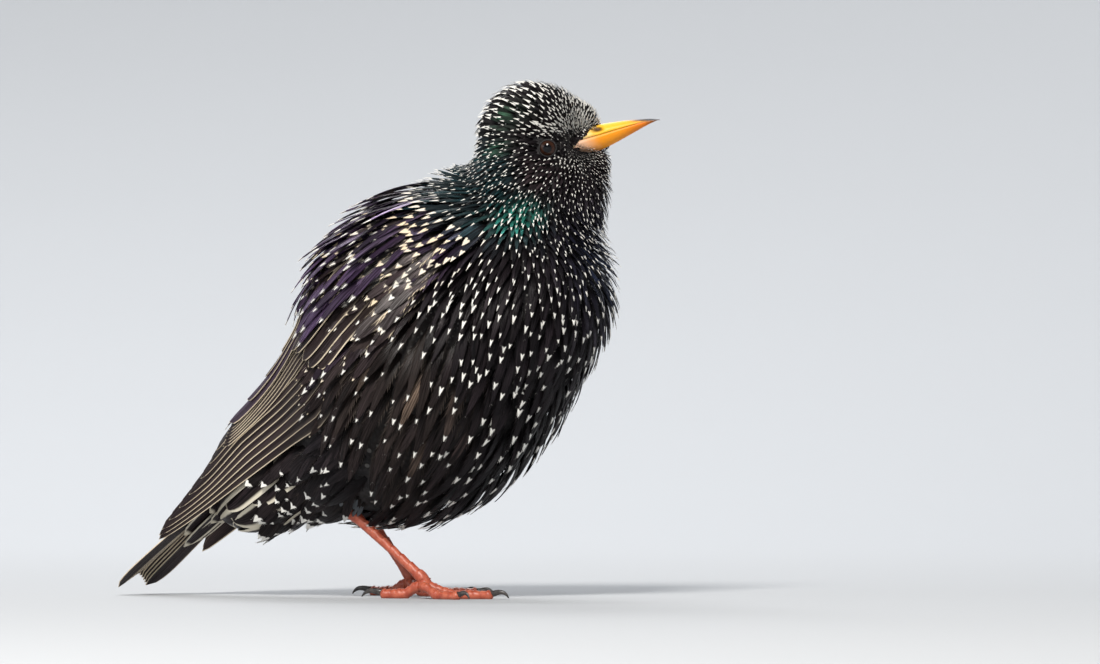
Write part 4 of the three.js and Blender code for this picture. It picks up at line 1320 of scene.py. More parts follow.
VANE_DEFAULTS = {
    "gloss": (*BRONZE, 0.2), "tip_color": (*PALE, 1), "mark": 0.0, "brown": 0.6,
    "rim": 0.35, "rim_end": 1.0, "rim_both": 0.0, "rim_color": (*BUFF, 1),
}


def join_vanes(name, vanes, material):
    """One object of many vanes. Each has its own patch of the bake map, in a grid."""
    points, faces, vane_uv, bake_uv = [], [], [], []
    values = {key: [] for key in (*VANE_DEFAULTS, "shade", "rim_u", "rim_v")}
    side = math.ceil(math.sqrt(len(vanes)))
    for i, vane in enumerate(vanes):
        start = sum(len(p) for p in points)
        points.append(vane["points"])
        faces += [tuple(start + v for v in face) for face in vane["faces"]]
        vane_uv.append(vane["vane"])
        corner = np.array([i % side, i // side])
        bake_uv.append((corner + 0.04 + 0.92 * vane["vane"]) / side)
        own = {**VANE_DEFAULTS, **vane.get("look", {})}
        own["shade"] = rng.random()
        own["rim_u"] = own["rim"] / vane["width"]
        own["rim_v"] = own["rim"] * own["rim_end"] / vane["length"]
        for key in values:
            values[key] += [own[key]] * len(vane["points"])
    made = make_object(name, to_scene(np.concatenate(points)), faces, material)
    fix_normals(made)
    for key, own in values.items():
        add_values(made, key, own)
    index = np.zeros(len(made.data.loops), int)
    made.data.loops.foreach_get("vertex_index", index)
    for label, table in (("OFBake", bake_uv), ("vane", vane_uv)):
        layer = made.data.uv_layers.new(name=label)
        layer.data.foreach_set("uv", np.concatenate(table)[index].astype(np.float32).ravel())
    made.data.set_sharp_from_angle(angle=math.radians(60))
    print(name, len(vanes), "vanes", triangles(made.data), "triangles")
    return made


def lit(vane, **look):
    vane["look"] = look
    return vane


# %% [markdown]
# The material of the long feathers is the body feather's with one thing more: a fine buff rim along
# the outer edge and round the tip, which draws the pale lines along a starling's folded wing.

# %% Material of the long feathers
def make_rim_group():
    tree, given, out = socket_group(
        "feather rim",
        [("Vane", "Vector", None), ("Across", "Float", 0.1), ("Along", "Float", 0.1), ("Both", "Float", 0.0)],
        [("Rim", "Float")],
    )
    parts = add_node(tree, "ShaderNodeSeparateXYZ", {0: given["Vane"]}).outputs

    def near(distance, width):
        inner = times(tree, width, 0.55)
        outer = times(tree, width, 1.25)
        return one_minus(tree, ramp(tree, distance, inner, outer))

    low = near(parts[0], given["Across"])
    high = near(one_minus(tree, parts[0]), given["Across"])
    high = times(tree, high, given["Both"])
    tip = near(one_minus(tree, parts[1]), given["Along"])
    rim = math_node(tree, "MAXIMUM", math_node(tree, "MAXIMUM", low, high), tip)
    rim = times(tree, rim, ramp(tree, parts[1], 0.1, 0.55))
    tree.links.new(rim, out["Rim"])
    return tree


RIM = make_rim_group()


def add_rim(material):
    """Puts the rim between the tip's colour and the shader."""
    tree = material.node_tree
    shader = tree.nodes["Principled BSDF"]
    before = shader.inputs["Base Color"].links[0].from_socket
    vane = add_node(tree, "ShaderNodeUVMap", uv_map="vane").outputs[0]
    rim = add_node(tree, "ShaderNodeGroup", node_tree=RIM)
    tree.links.new(vane, rim.inputs["Vane"])
    for socket, name in (("Across", "rim_u"), ("Along", "rim_v"), ("Both", "rim_both")):
        tree.links.new(factor(tree, name), rim.inputs[socket])
    color = mix_color(tree, rim.outputs["Rim"], before, attribute(tree, "rim_color").outputs["Color"])
    tree.links.new(color, shader.inputs["Base Color"])
    return material


FLIGHT_BLACK = (0.005, 0.004, 0.005)
FLIGHT_BROWN = (0.015, 0.010, 0.008)
flight_material = add_rim(
    feather_material("long feather", FLIGHT_BLACK, FLIGHT_BROWN, 26, roughness=0.42, specular=0.08)
)


# %% Lay the wings
def wing_ridge(t):
    return (math.pi / 2 - lead_angle(t)) * spread(t) - 0.8


def flight_vanes(side):
    lay = lambda t, b, h: on_wing(side, t, b, h)
    vanes = []
    # Nine primaries, which make the wing's point
    for i in range(9):
        tip = (0, 0.8, 2.6, 6.2, 11, 16, 22, 27, 31)[i]
        lower = lambda t, i=i: i * (1.1 + 0.9 * smooth(t, 0, 62)) - 0.6
        vane = long_vane(lay, (92, tip), lower, 6.4, (1.7, 0.5), tip_round=0.25, steps=30, lean=0.3)
        vanes.append(lit(vane, brown=0.7, rim=0.24))
    # Five greater coverts over their roots, with rims on both edges
    for i in range(5):
        first = 5.8 + 3.0 * i + rng.normal(0, 0.3)
        tip = 79.5 - 2.0 * i + rng.uniform(-1.6, 1.6)
        lower = lambda t, first=first: first + 1.4 * smooth(t, 72, 100)
        vane = long_vane(lay, (108, tip), lower, 5.4, (3.9, 2.7), tip_round=0.35, steps=20, lean=0.42)
        vanes.append(lit(vane, brown=0.8, rim=0.36, rim_both=0.8))
    # Six secondaries
    for i in range(6):
        s = i / 5
        lower = lambda t, s=s: 9.8 + 3.4 * s + (4.5 + 4.5 * s) * smooth(t, 34, 74)
        vane = long_vane(lay, (92, 34 + 4 * s), lower, 6.8, (2.0, 0.7), tip_round=0.7, steps=24, lean=0.35)
        vanes.append(lit(vane, brown=0.6, rim=0.26))
    # Four broad tertials on top
    for i in range(4):
        lower = lambda t, i=i: 14 + 2.7 * i + (8 + 0.5 * i) * smooth(t, 38, 84)
        vane = long_vane(lay, (96, 39 + 8.5 * i), lower, 8.6, (2.8, 1.2), tip_round=0.85, steps=22)
        vanes.append(lit(vane, brown=0.5, rim=0.28, rim_both=0.6, gloss=(*PURPLE, 0.15)))
    return vanes


def lay_on_wing(side, t, b, heights, width, roll):
    """Rows of feathers from (root, tip) pairs of t, b and height on the wing's sheet."""
    roots = on_wing(side, t[0], b[0], heights[0])
    tips = on_wing(side, t[1], b[1], heights[1])
    normal = unit(on_wing(side, t[0], b[0], heights[0] + 1) - roots)
    up_wing = unit(on_wing(side, t[0], b[0] + 1, heights[0]) - roots)
    facing = np.sign((np.cross(unit(tips - roots), normal) * up_wing).sum(axis=1))
    lift = np.radians(rng.uniform(12, 22, len(roots)))
    return lay_between(roots, tips, normal, lift, width, -facing * roll)


def covert_rows(side):
    # Each tier: count, root, tip, from, to, width, height, length of the pale tip
    tiers = (
        (8, 99, 64, 0.5, 11, 5.2, 2.2, 0.5),
        (13, 104, 74, 2, 24, 5.2, 1.9, 0.9),
        (15, 111, 86, 2, 26, 4.9, 3.4, 1.2),
        (16, 117, 95, 2, 27, 4.6, 3.8, 1.4),
        (17, 122, 103, 2, 27, 4.4, 4.1, 1.7),
        (17, 127, 110, 3, 27, 4.2, 4.3, 1.6),
        (15, 132, 117, 4, 26, 4.0, 4.4, 1.5),
    )
    values = []
    for count, root, tip, start, end, width, height, mark in tiers:
        for i in range(count):
            share = i / (count - 1)
            b = start + (end - start) * share + rng.normal(0, 0.5)
            values.append((root, tip + 5 * share, b, width, height, mark))
    root, tip, b, width, height, mark = np.array(values).T
    count = len(root)
    root = root + rng.normal(0, 1, count)
    tip = tip + rng.normal(0, 1.4, count)
    height = height + rng.normal(0, 0.25, count)
    ends = (height - 4.5, height + rng.uniform(-0.2, 0.8, count))
    rows = lay_on_wing(side, (root, tip), (b, b + rng.normal(0, 1.2, count)), ends, width, 0.12)
    rows["gloss"] = np.concatenate([np.tile(BRONZE, (count, 1)), rng.uniform(0.02, 0.5, (count, 1))], axis=1)
    # A patch of coverts gets a pale grey gloss: partly their own pale fluff, partly painted highlight
    fluff_and_painted_highlight = np.exp(-(((tip - 104) / 12) ** 2) - ((b - 12) / 7) ** 2) * (rng.random(count) < 0.75)
    # Random upper coverts get a silver gloss: painted highlight
    rows["gloss"] = blend_by(0.6 * smooth(tip, 90, 108) * rng.random(count), rows["gloss"], (*SILVER_AND_PAINTED_HIGHLIGHT, 0.9))
    rows["gloss"] = blend_by(fluff_and_painted_highlight, rows["gloss"], (*FLUFF_AND_PAINTED_HIGHLIGHT, 0.75))
    rows["tip_color"] = blend_by(rng.random(count), np.tile((*WHITE, 1), (count, 1)), (*CREAM, 1))
    rows["brown"] = rng.uniform(0.6, 1, count)
    rows["mark"] = mark * rng.uniform(0.5, 1.4, count) / (root - tip)
    rows["rim_u"] = rng.uniform(0.0, 0.09, count) + 0.05 * ((root > 108) & (root < 120))
    rows["rim_v"] = np.full(count, 0.005)
    rows["rim_both"] = rng.uniform(0, 1, count)
    rows["rim_color"] = np.tile((*BUFF, 1), (count, 1))
    return rows


def scapular_rows(side):
    # Each row: count, root, tip, lower edge, width, height
    rows_of = (
        (6, 107, 75, 20.5, 6.2, 4.4),
        (7, 112, 81, 19.5, 6.1, 4.9),
        (8, 118, 86, 18, 6.0, 5.3),
        (9, 124, 94, 17, 5.8, 5.7),
        (9, 129, 101, 17, 5.5, 5.9),
        (10, 133, 107, 17, 5.2, 5.8),
        (10, 137, 113, 17, 4.9, 4.9),
    )
    values = []
    for r, (count, root, tip, first, width, height) in enumerate(rows_of):
        for i in range(count):
            share = (i + 0.5 * (r % 2)) / count
            b = first + (wing_ridge(np.array(float(root))) - first - 1) * share
            values.append((root, tip + 4 * share, b, -3 + 2.4 * share, width, height))
    root, tip, b, drift, width, height = np.array(values).T
    count = len(root)
    root = root + rng.normal(0, 1.2, count)
    tip = tip + rng.normal(0, 1.8, count)
    height = height + rng.normal(0, 0.3, count)
    ends = (height - 6, height + rng.uniform(-0.6, 2.6, count))
    rows = lay_on_wing(side, (root, tip), (b, b + drift + rng.normal(0, 0.9, count)), ends, width, 0.18)
    # Purple sheen, paler towards lilac on some feathers: partly painted highlight
    lilac_sheen_and_painted_highlight = blend_by(rng.random(count) ** 2.2, np.tile(PURPLE, (count, 1)), LILAC_SHEEN_AND_PAINTED_HIGHLIGHT)
    rows["gloss"] = np.concatenate([lilac_sheen_and_painted_highlight, rng.uniform(0.05, 0.7, (count, 1)) ** 1.3], axis=1)
    rows["tip_color"] = np.tile((*WHITE, 1), (count, 1))
    rows["brown"] = rng.uniform(0, 0.3, count)
    rows["mark"] = (rng.uniform(1.2, 2.2, count) + 0.2 * smooth(tip, 92, 108)) / (root - tip)
    return rows


def rump_rows(side):
    count = 30
    root = np.linspace(48, 98, count) + rng.normal(0, 1.5, count)
    tip = root - rng.uniform(11, 17, count)
    b = wing_ridge(root) - rng.uniform(0, 3.5, count) - 4 * smooth(56 - root, 0, 20)
    ends = (rng.uniform(-2.5, -1.5, count), rng.uniform(0.2, 1.3, count))
    b_tip = wing_ridge(tip) - rng.uniform(0.6, 3.0, count) - 5 * smooth(50 - tip, 0, 24)
    rows = lay_on_wing(side, (root, tip), (b, b_tip), ends, 4.2, 0.1)
    rows["gloss"] = np.tile((*PURPLE, 0.3), (count, 1))
    rows["tip_color"] = np.tile((*WHITE, 1), (count, 1))
    rows["brown"] = rng.uniform(0, 0.5, count)
    rows["mark"] = rng.uniform(1.2, 2.4, count) / (root - tip)
    return rows


wings = {}
for label, side in SIDES:
    wings[label] = [
        join_vanes("flight_feathers_" + label, flight_vanes(side), flight_material),
        plant("wing_coverts_" + label, TEMPLATES["broad"], covert_rows(side), flight_material),
        plant("scapulars_" + label, TEMPLATES["broad"], scapular_rows(side), coat_material),
        plant("rump_" + label, TEMPLATES["broad"], rump_rows(side), coat_material),
    ]

# %% [markdown]
# The tail is closed, its middle feathers on top, and tilted a little. Dark, white-edged coverts taper
# onto it from above and below.

# %% Lay the tail
TAIL_AT = np.array([-41.0, 0, 45.5])
TAIL_TURN = rotation("Y", -41.6) @ rotation("X", -12)
TAIL_LENGTH = 65
TAIL_FOLD = 10.6
TAIL_WIDTH = 6.4


def on_tail(u, v, h):
    u, v, h = np.broadcast_arrays(u, v, h)
    return np.stack([-u, v, h], axis=-1) @ TAIL_TURN.T + TAIL_AT


def tail_vanes():
    vanes = []
    for i in range(12):
        out = (i - 5.5) / 5.5
        far = abs(out)
        end = TAIL_LENGTH - 3.5 * (1 - far**1.5) - 1.6 * (1 + out)
        middle = lambda u, out=out: out * (3 + (TAIL_FOLD - 6.1) * smooth(u, 0, 60))
        lower = lambda u, middle=middle: middle(u) - TAIL_WIDTH / 2
        height = 0.9 - 2.3 * far + (0.25 if out > 0 else 0)
        bow = -0.35 * np.sign(out)
        heights = (height - bow, height + bow)
        vane = long_vane(on_tail, (2, end), lower, TAIL_WIDTH, heights, steps=22, lean=0.5 - 0.2 * out)
        vanes.append(lit(vane, brown=0.9, rim=0.3, rim_both=1.0))
    return vanes


def above_skin(points, height):
    """Points moved out to a height over the plumage's outline, where they lie lower than that."""
    flat, height = points.reshape(-1, 3), np.broadcast_to(height, points.shape[:-1]).ravel()
    low = plumage(flat) < height
    place = flat.copy()
    place[low] = settle(flat[low], height[low])
    return place.reshape(points.shape)


def tail_covert_vanes():
    vanes = []
    # Each row: count, root, tip, spread at root and tip, height at root and tip, width, rounding, rim
    rows_of = (
        (4, 2, 36, 4.5, 5.0, -3.0, -2.7, 7.0, 0.35, 0.9),
        (3, -1, 43, 4.0, 4.5, -4.2, -3.6, 8.0, 0.5, 1.0),
        (4, -4, 31, 5.5, 6.5, -6.4, -5.4, 7.6, 0.8, 0.8),
        (5, -8, 22, 6.5, 7.5, -9.2, -8.7, 7.0, 1.1, 0.6),
        (5, -12, 13, 7.5, 8.5, -12.2, -12.0, 6.4, 1.5, 0.5),
        (5, 2, 30, 4.5, 5.0, 2.6, 2.5, 5.4, -0.5, 0.6),
        (5, -2, 22, 5.0, 6.0, 4.0, 3.6, 5.2, -0.7, 0.6),
        (5, -6, 14, 5.5, 6.5, 5.6, 5.0, 5.0, -0.9, 0.6),
    )
    for count, root, tip, near, far, high_a, high_b, width, tilt, rim in rows_of:
        for i in range(count):
            out = 2 * i / (count - 1) - 1 + rng.normal(0, 0.05)
            end = tip - 3 * abs(out) + rng.normal(0, 0.9)

            def lay(u, b, h, root=root, end=end, tilt=tilt, out=out, high_a=high_a, high_b=high_b):
                share = np.clip((u - root) / (end - root), 0, 1)
                bowl = tilt * out * out * 1.4
                place = on_tail(u, b, h + high_a + (high_b - high_a) * share + bowl)
                return above_skin(place, SKIN_LEVEL + 2.6 * smooth(share, 0, 0.5) + h * np.sign(high_a))

            def lower(u, root=root, end=end, out=out, near=near, far=far, width=width):
                share = np.clip((u - root) / (end - root), 0, 1)
                return out * (near + (far - near) * share) - width / 2

            slope = tilt * out
            vane = long_vane(lay, (root, end), lower, width, (-slope, slope), 0.3, 14, curl=0.3)
            vanes.append(lit(vane, brown=0.3, rim=rim, rim_end=2.0, rim_both=1.0, rim_color=(*PALE, 1)))
    return vanes


tail = join_vanes("tail_feathers", tail_vanes(), flight_material)
tail_coverts = join_vanes("tail_coverts", tail_covert_vanes(), flight_material)


# %% [markdown]
# The bill is two half cones of horn. They meet on a mouth line that turns down at the gape, and
# their tip droops a little. A loft of many rings gives the arched section. The nostril is pressed
# into the same rings, with a swollen flap above it. Its hollow is painted dark: painted shade.

# %% Bill
BILL_ROOT, BILL_TIP = 4.0, 34.1
BILL_STATIONS = (6.0, 16.1, 34.1)
CULMEN = (1.2, -0.2, -3.7)
MOUTH = (-2.6, -3.1, -3.8)
KEEL = (-9.0, -7.5, -3.9)
BILL_WIDTH = (11, 6.6, 1.3)
BILL_DROOP = 0.75
MOUTH_GAP = 0.05
# The dark painted into the nostril's hollow: painted shade
NOSTRIL_PAINTED_SHADE = (0.045, 0.010, 0.004)
HORN_RINGS, HORN_AROUND = 90, 36
GAPE = {"x": 10.2, "run": 3.6, "drop": 1.8}
NOSTRIL = {"x": 15.5, "z": -1.45, "long": 1.65, "high": 0.72, "deep": 1.0, "flap": 0.36, "fall": -0.18}


def along_bill(x, values):
    root, nostril, tip = values
    a, b, c = BILL_STATIONS
    share = np.clip((x - b) / (c - b), 0, 1) ** 1.15
    slope = (nostril - root) / (b - a)
    return np.where(x < b, root + slope * (x - a), nostril + (tip - nostril) * share)


def horn_section(x, angle, upper):
    """y and z of the horn's outside at a place along it and an angle round it, and what it hangs on."""
    closing = np.sqrt(np.clip(1 - ((x - BILL_ROOT) / (BILL_TIP - BILL_ROOT)) ** 26, 0, 1))
    droop = BILL_DROOP * np.clip((x - BILL_STATIONS[1]) / (BILL_TIP - BILL_STATIONS[1]), 0, 1) ** 7
    half = along_bill(x, BILL_WIDTH) / 2 * closing
    mouth = along_bill(x, MOUTH) - droop - GAPE["drop"] * smooth(GAPE["x"] - x, 0, GAPE["run"])
    mouth = mouth + (MOUTH_GAP if upper else -MOUTH_GAP)
    edge = along_bill(x, CULMEN if upper else KEEL) - droop
    edge = mouth + (edge - mouth) * closing
    arch = np.sin(angle) ** 0.85
    return half * np.cos(angle) * (1 - 0.22 * arch**2), mouth + (edge - mouth) * arch, half, mouth, edge


def horn(upper):
    half_around = HORN_AROUND // 2
    x = BILL_ROOT + (BILL_TIP - BILL_ROOT) * np.linspace(0, 1, HORN_RINGS + 1)[:, None] ** 0.92
    y, z, half, mouth, edge = horn_section(x, np.linspace(0, math.pi, half_around + 1), upper)
    floor_y = half * np.linspace(-0.96, 0.96, half_around - 1)
    inset = 0.12 * (1 - (floor_y / np.maximum(half, 1e-6)) ** 2)
    floor_z = mouth + (inset if upper else -inset)
    y = np.concatenate([y, floor_y], axis=1)
    z = np.concatenate([z, floor_z], axis=1)
    grid_x = np.repeat(x, y.shape[1], axis=1)
    nostril_painted_shade = np.zeros_like(grid_x)
    if upper:
        hole = NOSTRIL
        off = z - hole["z"] - hole["fall"] * (grid_x - hole["x"])
        far = ((grid_x - hole["x"]) / hole["long"]) ** 2 + (off / hole["high"]) ** 2
        flap = ((grid_x - hole["x"] + 0.3) / 2.2) ** 2 + ((off - 1.0) / 0.4) ** 2
        push = hole["flap"] * np.exp(-flap) - hole["deep"] * np.exp(-(far**2))
        outer = np.arange(y.shape[1]) <= half_around
        y = y + np.sign(y) * push * outer
        # Where the nostril's hollow is painted dark: painted shade
        nostril_painted_shade = np.exp(-(far**2)) * outer
    points = from_head(np.stack([grid_x, y, z], axis=-1).reshape(-1, 3))
    faces = tube_faces(HORN_RINGS, y.shape[1])
    made = make_object("bill_upper_horn" if upper else "bill_lower_horn", to_scene(points), faces)
    rise = (z - mouth) / np.where(np.abs(edge - mouth) < 1e-3, 1e-3, edge - mouth)
    add_values(made, "along", ((grid_x - BILL_ROOT) / (BILL_TIP - BILL_ROOT)).ravel())
    add_values(made, "rise", np.clip(rise, 0, 1).ravel())
    add_values(made, "nostril_painted_shade", nostril_painted_shade.ravel())
    fix_normals(made)
    return made


def horn_material(name, root, middle, front, tip_color, upward):
    material, tree, shader = new_material(name)
    place = add_node(tree, "ShaderNodeTexCoord").outputs["Object"]
    streak = noise(tree, place, 420.0, 4.0)
    along = factor(tree, "along")
    rise = factor(tree, "rise")
    wander = times(tree, math_node(tree, "SUBTRACT", streak, 0.5), 0.10)
    at = math_node(tree, "ADD", along, wander)
    color = mix_color(tree, ramp(tree, at, 0.14, 0.42), (*root, 1), (*middle, 1))
    color = mix_color(tree, ramp(tree, at, 0.5, 0.85), color, (*front, 1))
    tip = ramp(tree, math_node(tree, "ADD", at, times(tree, rise, upward)), 0.8, 0.95)
    color = mix_color(tree, tip, color, (*tip_color, 1))
    # The nostril's hollow painted dark: painted shade
    color = mix_color(tree, factor(tree, "nostril_painted_shade"), color, (*NOSTRIL_PAINTED_SHADE, 1))
    tree.links.new(color, shader.inputs["Base Color"])
    fine = noise(tree, place, 1800.0, 3.0)
    add_bump(tree, shader, fine, 0.25)
    shader.inputs["Roughness"].default_value = 0.46
    shader.inputs["Specular IOR Level"].default_value = 0.35
    shader.inputs["Subsurface Weight"].default_value = 0.12
    shader.inputs["Subsurface Radius"].default_value = (0.002, 0.001, 0.0004)
    return material


bills = [horn(True), horn(False)]
# Each half: its colours at root, middle, front and tip, and how much farther back the dark of the
# tip runs along its outer edge
HORN_LOOKS = (
    ("yellow horn", (0.80, 0.62, 0.36), (0.88, 0.47, 0.015), (0.88, 0.36, 0.006), (0.028, 0.026, 0.03), 0.16),
    ("orange horn", (0.66, 0.42, 0.29), (0.88, 0.30, 0.003), (0.80, 0.20, 0.002), (0.13, 0.05, 0.015), -0.05),
)
for piece, look in zip(bills, HORN_LOOKS):
    piece.data.materials.append(horn_material(*look))
    print(piece.name, triangles(piece.data), "triangles")

# %% [markdown]
# The face's feathers come forward over the root of the horn, as far as the nostril above and the
# gape below, and run on under the chin. They stand on the horn, upright on the forehead and chin
# and flat on the lores.

# %% Feathers on the root of the bill
FACE_ABOVE = {"z": (-4.4, -2.7, -1.7, -0.8, -0.3), "x": (6.7, 10.2, 12.2, 13.7, 16.8)}
FACE_BELOW = {"z": (-7.8, -6.3, -4.9, -4.4), "x": (7.6, 8.7, 9.1, 7.0)}
CHIN_END = 18.0


def face_rows():
    spots, normals = [], []
    for upper, line in ((True, FACE_ABOVE), (False, FACE_BELOW)):
        x, angle = rng.uniform(6.0, 19.5, 5000), rng.uniform(0.02, math.pi - 0.02, 5000)
        y, z, half, mouth, edge = horn_section(x, angle, upper)
        behind = x < np.interp(z, line["z"], line["x"]) + rng.normal(0, 0.12, len(x))
        if not upper:
            behind |= np.abs(angle - math.pi / 2) < 0.55 * smooth(CHIN_END - x, 0, 9)
        spots.append(np.stack([x, y, z], axis=1)[behind])
        normals.append(np.stack([0 * x, y / half**2, (z - mouth) / (edge - mouth) ** 2], axis=1)[behind])
    spots, normals = np.concatenate(spots), unit(np.concatenate(normals))
    kept = thin_out(spots, np.where(normals[:, 2] < -0.5, 0.36, 0.5))
    spots, normals, count = spots[kept], normals[kept], len(kept)
    upright = smooth(np.abs(normals[:, 2]), 0.5, 0.95) * smooth(spots[:, 0], 9, 14)
    upright *= np.where(normals[:, 2] < 0, smooth(CHIN_END - spots[:, 0], -1, 6), 1)
    steep = np.radians(blend_by(upright, 24, 68) * rng.uniform(0.8, 1.15, count))[:, None]
    length = blend_by(upright, 1.7, 2.6) * rng.uniform(0.85, 1.15, count)
    back = np.stack([-np.ones(count), 0.3 * np.sign(spots[:, 1]), np.zeros(count)], axis=1)
    flat = unit(back - (back * normals).sum(axis=1, keepdims=True) * normals)
    tips = from_head(spots + (flat * np.cos(steep) + normals * np.sin(steep)) * length[:, None])
    roots = from_head(spots)
    lift, roll = np.radians(rng.uniform(2, 12, count)), rng.normal(0, 0.2, count)
    rows = lay_between(roots, tips, normals @ HEAD_TURN.T, lift, rng.uniform(0.8, 1.2, count), roll)
    sizes, places = measures(roots)
    rows["gloss"], rows["tip_color"], rows["brown"] = coat_colors(roots, places)
    rows["mark"] = sizes["mark"] * rng.uniform(0.7, 1.3, count) / length
    rows["mark"] *= rng.random(count) > LORES_BARE * in_lores(spots)
    return rows


coat.append(plant("coat_face", TEMPLATES["speck"], face_rows(), coat_material))

# %% [markdown]
# A bird's eye is a wet ball that fills its opening. It is a fine ball with a bulging cornea, and its
# iris and pupil are rings about its axis. The lid round it is a thin pebbled ring.

# %% Eyes and lids
EYE_OPENING = 2.4
PUPIL = 1.3
IRIS = 2.05
LID_THICK, PEBBLES = 0.24, 24


def eye_frame(side):
    """Columns: forward, up and out of the head."""
    return HEAD_TURN @ np.array([[1, 0, 0], [0, 0, side], [0, 1, 0]], float)


def make_eye(side, label):
    rings, around = 28, 48
    lift = np.linspace(0, math.pi, rings + 1)
    turn = circle(around)
    radius = EYE["radius"] + 0.22 * np.exp(-((lift / 0.55) ** 2)) - 0.6 * smooth(lift, 0.85, 1.35)
    far = radius * np.sin(lift)
    ring = np.stack(
        [
            far[:, None] * np.cos(turn),
            far[:, None] * np.sin(turn),
            np.repeat((radius * np.cos(lift))[:, None], around, axis=1),
        ],
        axis=-1,
    )
    points = ring.reshape(-1, 3) @ eye_frame(side).T + eye_centre(side)
    made = make_object("eyeball_" + label, to_scene(points), tube_faces(rings, around, caps=False))
    add_values(made, "off_axis", np.where(lift < math.pi / 2, far, 9).repeat(around))
    fix_normals(made, merge=1e-7)
    return made


def make_lid(side, label):
    around, rings = 72, 10
    turn = circle(around)
    section = circle(rings)
    thick = LID_THICK + 0.05 * np.sin(turn * PEBBLES)
    opening = EYE_OPENING * (1 - 0.05 * np.abs(np.sin(turn)))
    depth = math.sqrt(EYE["radius"] ** 2 - EYE_OPENING**2) - 0.02
    radial = opening[:, None] + thick[:, None] * (1 + np.cos(section))
    out = depth + thick[:, None] * 0.8 * np.sin(section) - 0.25 * (radial - EYE_OPENING)
    local = np.stack([radial * np.cos(turn)[:, None], radial * np.sin(turn)[:, None], out], axis=-1)
    points = local.reshape(-1, 3) @ eye_frame(side).T + eye_centre(side)
    faces = []
    for k in range(around):
        for j in range(rings):
            a, b = k * rings + j, k * rings + (j + 1) % rings
            c, d = (k + 1) % around * rings + (j + 1) % rings, (k + 1) % around * rings + j
            faces.append((a, b, c, d))
    made = make_object("eyelid_" + label, to_scene(points), faces)
    fix_normals(made)
    return made


def eye_material():
    material = plain_material("dark brown eye", (0.01, 0.006, 0.005), 0.08)
    tree = material.node_tree
    shader = tree.nodes["Principled BSDF"]
    off = factor(tree, "off_axis")
    place = add_node(tree, "ShaderNodeTexCoord").outputs["Object"]
    fibre = noise(tree, place, 2200.0, 2.0)
    iris = mix_color(tree, fibre, (0.014, 0.006, 0.004, 1), (0.042, 0.016, 0.008, 1))
    color = mix_color(tree, ramp(tree, off, PUPIL - 0.08, PUPIL + 0.12), (0.002, 0.002, 0.003, 1), iris)
    color = mix_color(tree, ramp(tree, off, IRIS, EYE_OPENING), color, (0.006, 0.004, 0.004, 1))
    tree.links.new(color, shader.inputs["Base Color"])
    shader.inputs["Specular IOR Level"].default_value = 0.28
    return material


def skin_like_material(name, low, high, scale, roughness):
    material = plain_material(name, low, roughness)
    tree = material.node_tree
    shader = tree.nodes["Principled BSDF"]
    place = add_node(tree, "ShaderNodeTexCoord").outputs["Object"]
    grain = noise(tree, place, scale, 5.0)
    color = mix_color(tree, ramp(tree, grain, 0.3, 0.7), (*low, 1), (*high, 1))
    tree.links.new(color, shader.inputs["Base Color"])
    add_bump(tree, shader, grain, 0.4)
    return material


brown_eye = eye_material()
lid_skin = skin_like_material("grey lid skin", (0.004, 0.0035, 0.0035), (0.012, 0.011, 0.011), 1500.0, 0.75)
eyes, lids = [], []
for label, side in SIDES:
    eyes.append(make_eye(side, label))
    eyes[-1].data.materials.append(brown_eye)
    lids.append(make_lid(side, label))
    lids[-1].data.materials.append(lid_skin)

# %% [markdown]
# The legs are bare and scaly. A shin has a row of overlapping plates down its front, and each toe has
# plates on top and soft pads below. All are lofts along a path, with the plates' edges as small steps
# in the radius, so they catch the light as real ones do.

# %% Legs and feet
TARSUS_RADII = ((-0.06, 1.6), (0, 2.2), (0.12, 1.6), (0.5, 1.35), (0.86, 1.5), (1.0, 2.0), (1.05, 1.5))
# Each toe: its length, radius, turn, how far it starts to the side, and its claw's length
TOES = {
    "middle": (21, 1.5, 0, 0, 6.8),
    "hind": (12, 1.65, 176, 0, 8.0),
    "inner": (14, 1.4, -24, -2.2, 5.8),
    "outer": (15, 1.4, 24, 2.2, 5.6),
}
FLOOR_CLEAR = 0.03
TOE_RINGS = 64
SEAM_RED = (0.22, 0.045, 0.028)


def path_frames(path):
    """The ways to the side and up at each point of a path."""
    ahead = unit(np.gradient(path, axis=0))
    aside = unit(np.cross(ahead, (0, 0, 1.0)))
    return aside, np.cross(aside, ahead)


def scaly_tube(path, radii, plates, step, front, around=28, flat=0.0):
    """front: the way that the plates face. Pads swell on the other side."""
    aside, up = path_frames(path)
    turn = circle(around)
    share = np.linspace(0, 1, len(path))
    ring = np.cos(turn)[None, :, None] * aside[:, None] + np.sin(turn)[None, :, None] * up[:, None]
    facing = smooth(ring @ unit(np.array(front, float)), 0.05, 0.7)
    saw = (share * plates) % 1.0
    plate = step * (0.35 - saw) * (1 - smooth(saw, 0.88, 1.0))
    grow = 1 + (plate[:, None] * facing) / radii[:, None]
    knob = 0.05 * np.sin(share * plates * 4 * math.pi)[:, None] * np.sin(turn * 9) * (1 - facing)
    points = path[:, None] + ring * (radii[:, None] * (grow + knob))[..., None]
    points[..., 2] = np.maximum(points[..., 2], flat)
    scale = saw[:, None] * facing
    return points.reshape(-1, 3), tube_faces(len(path) - 1, around), scale.ravel()


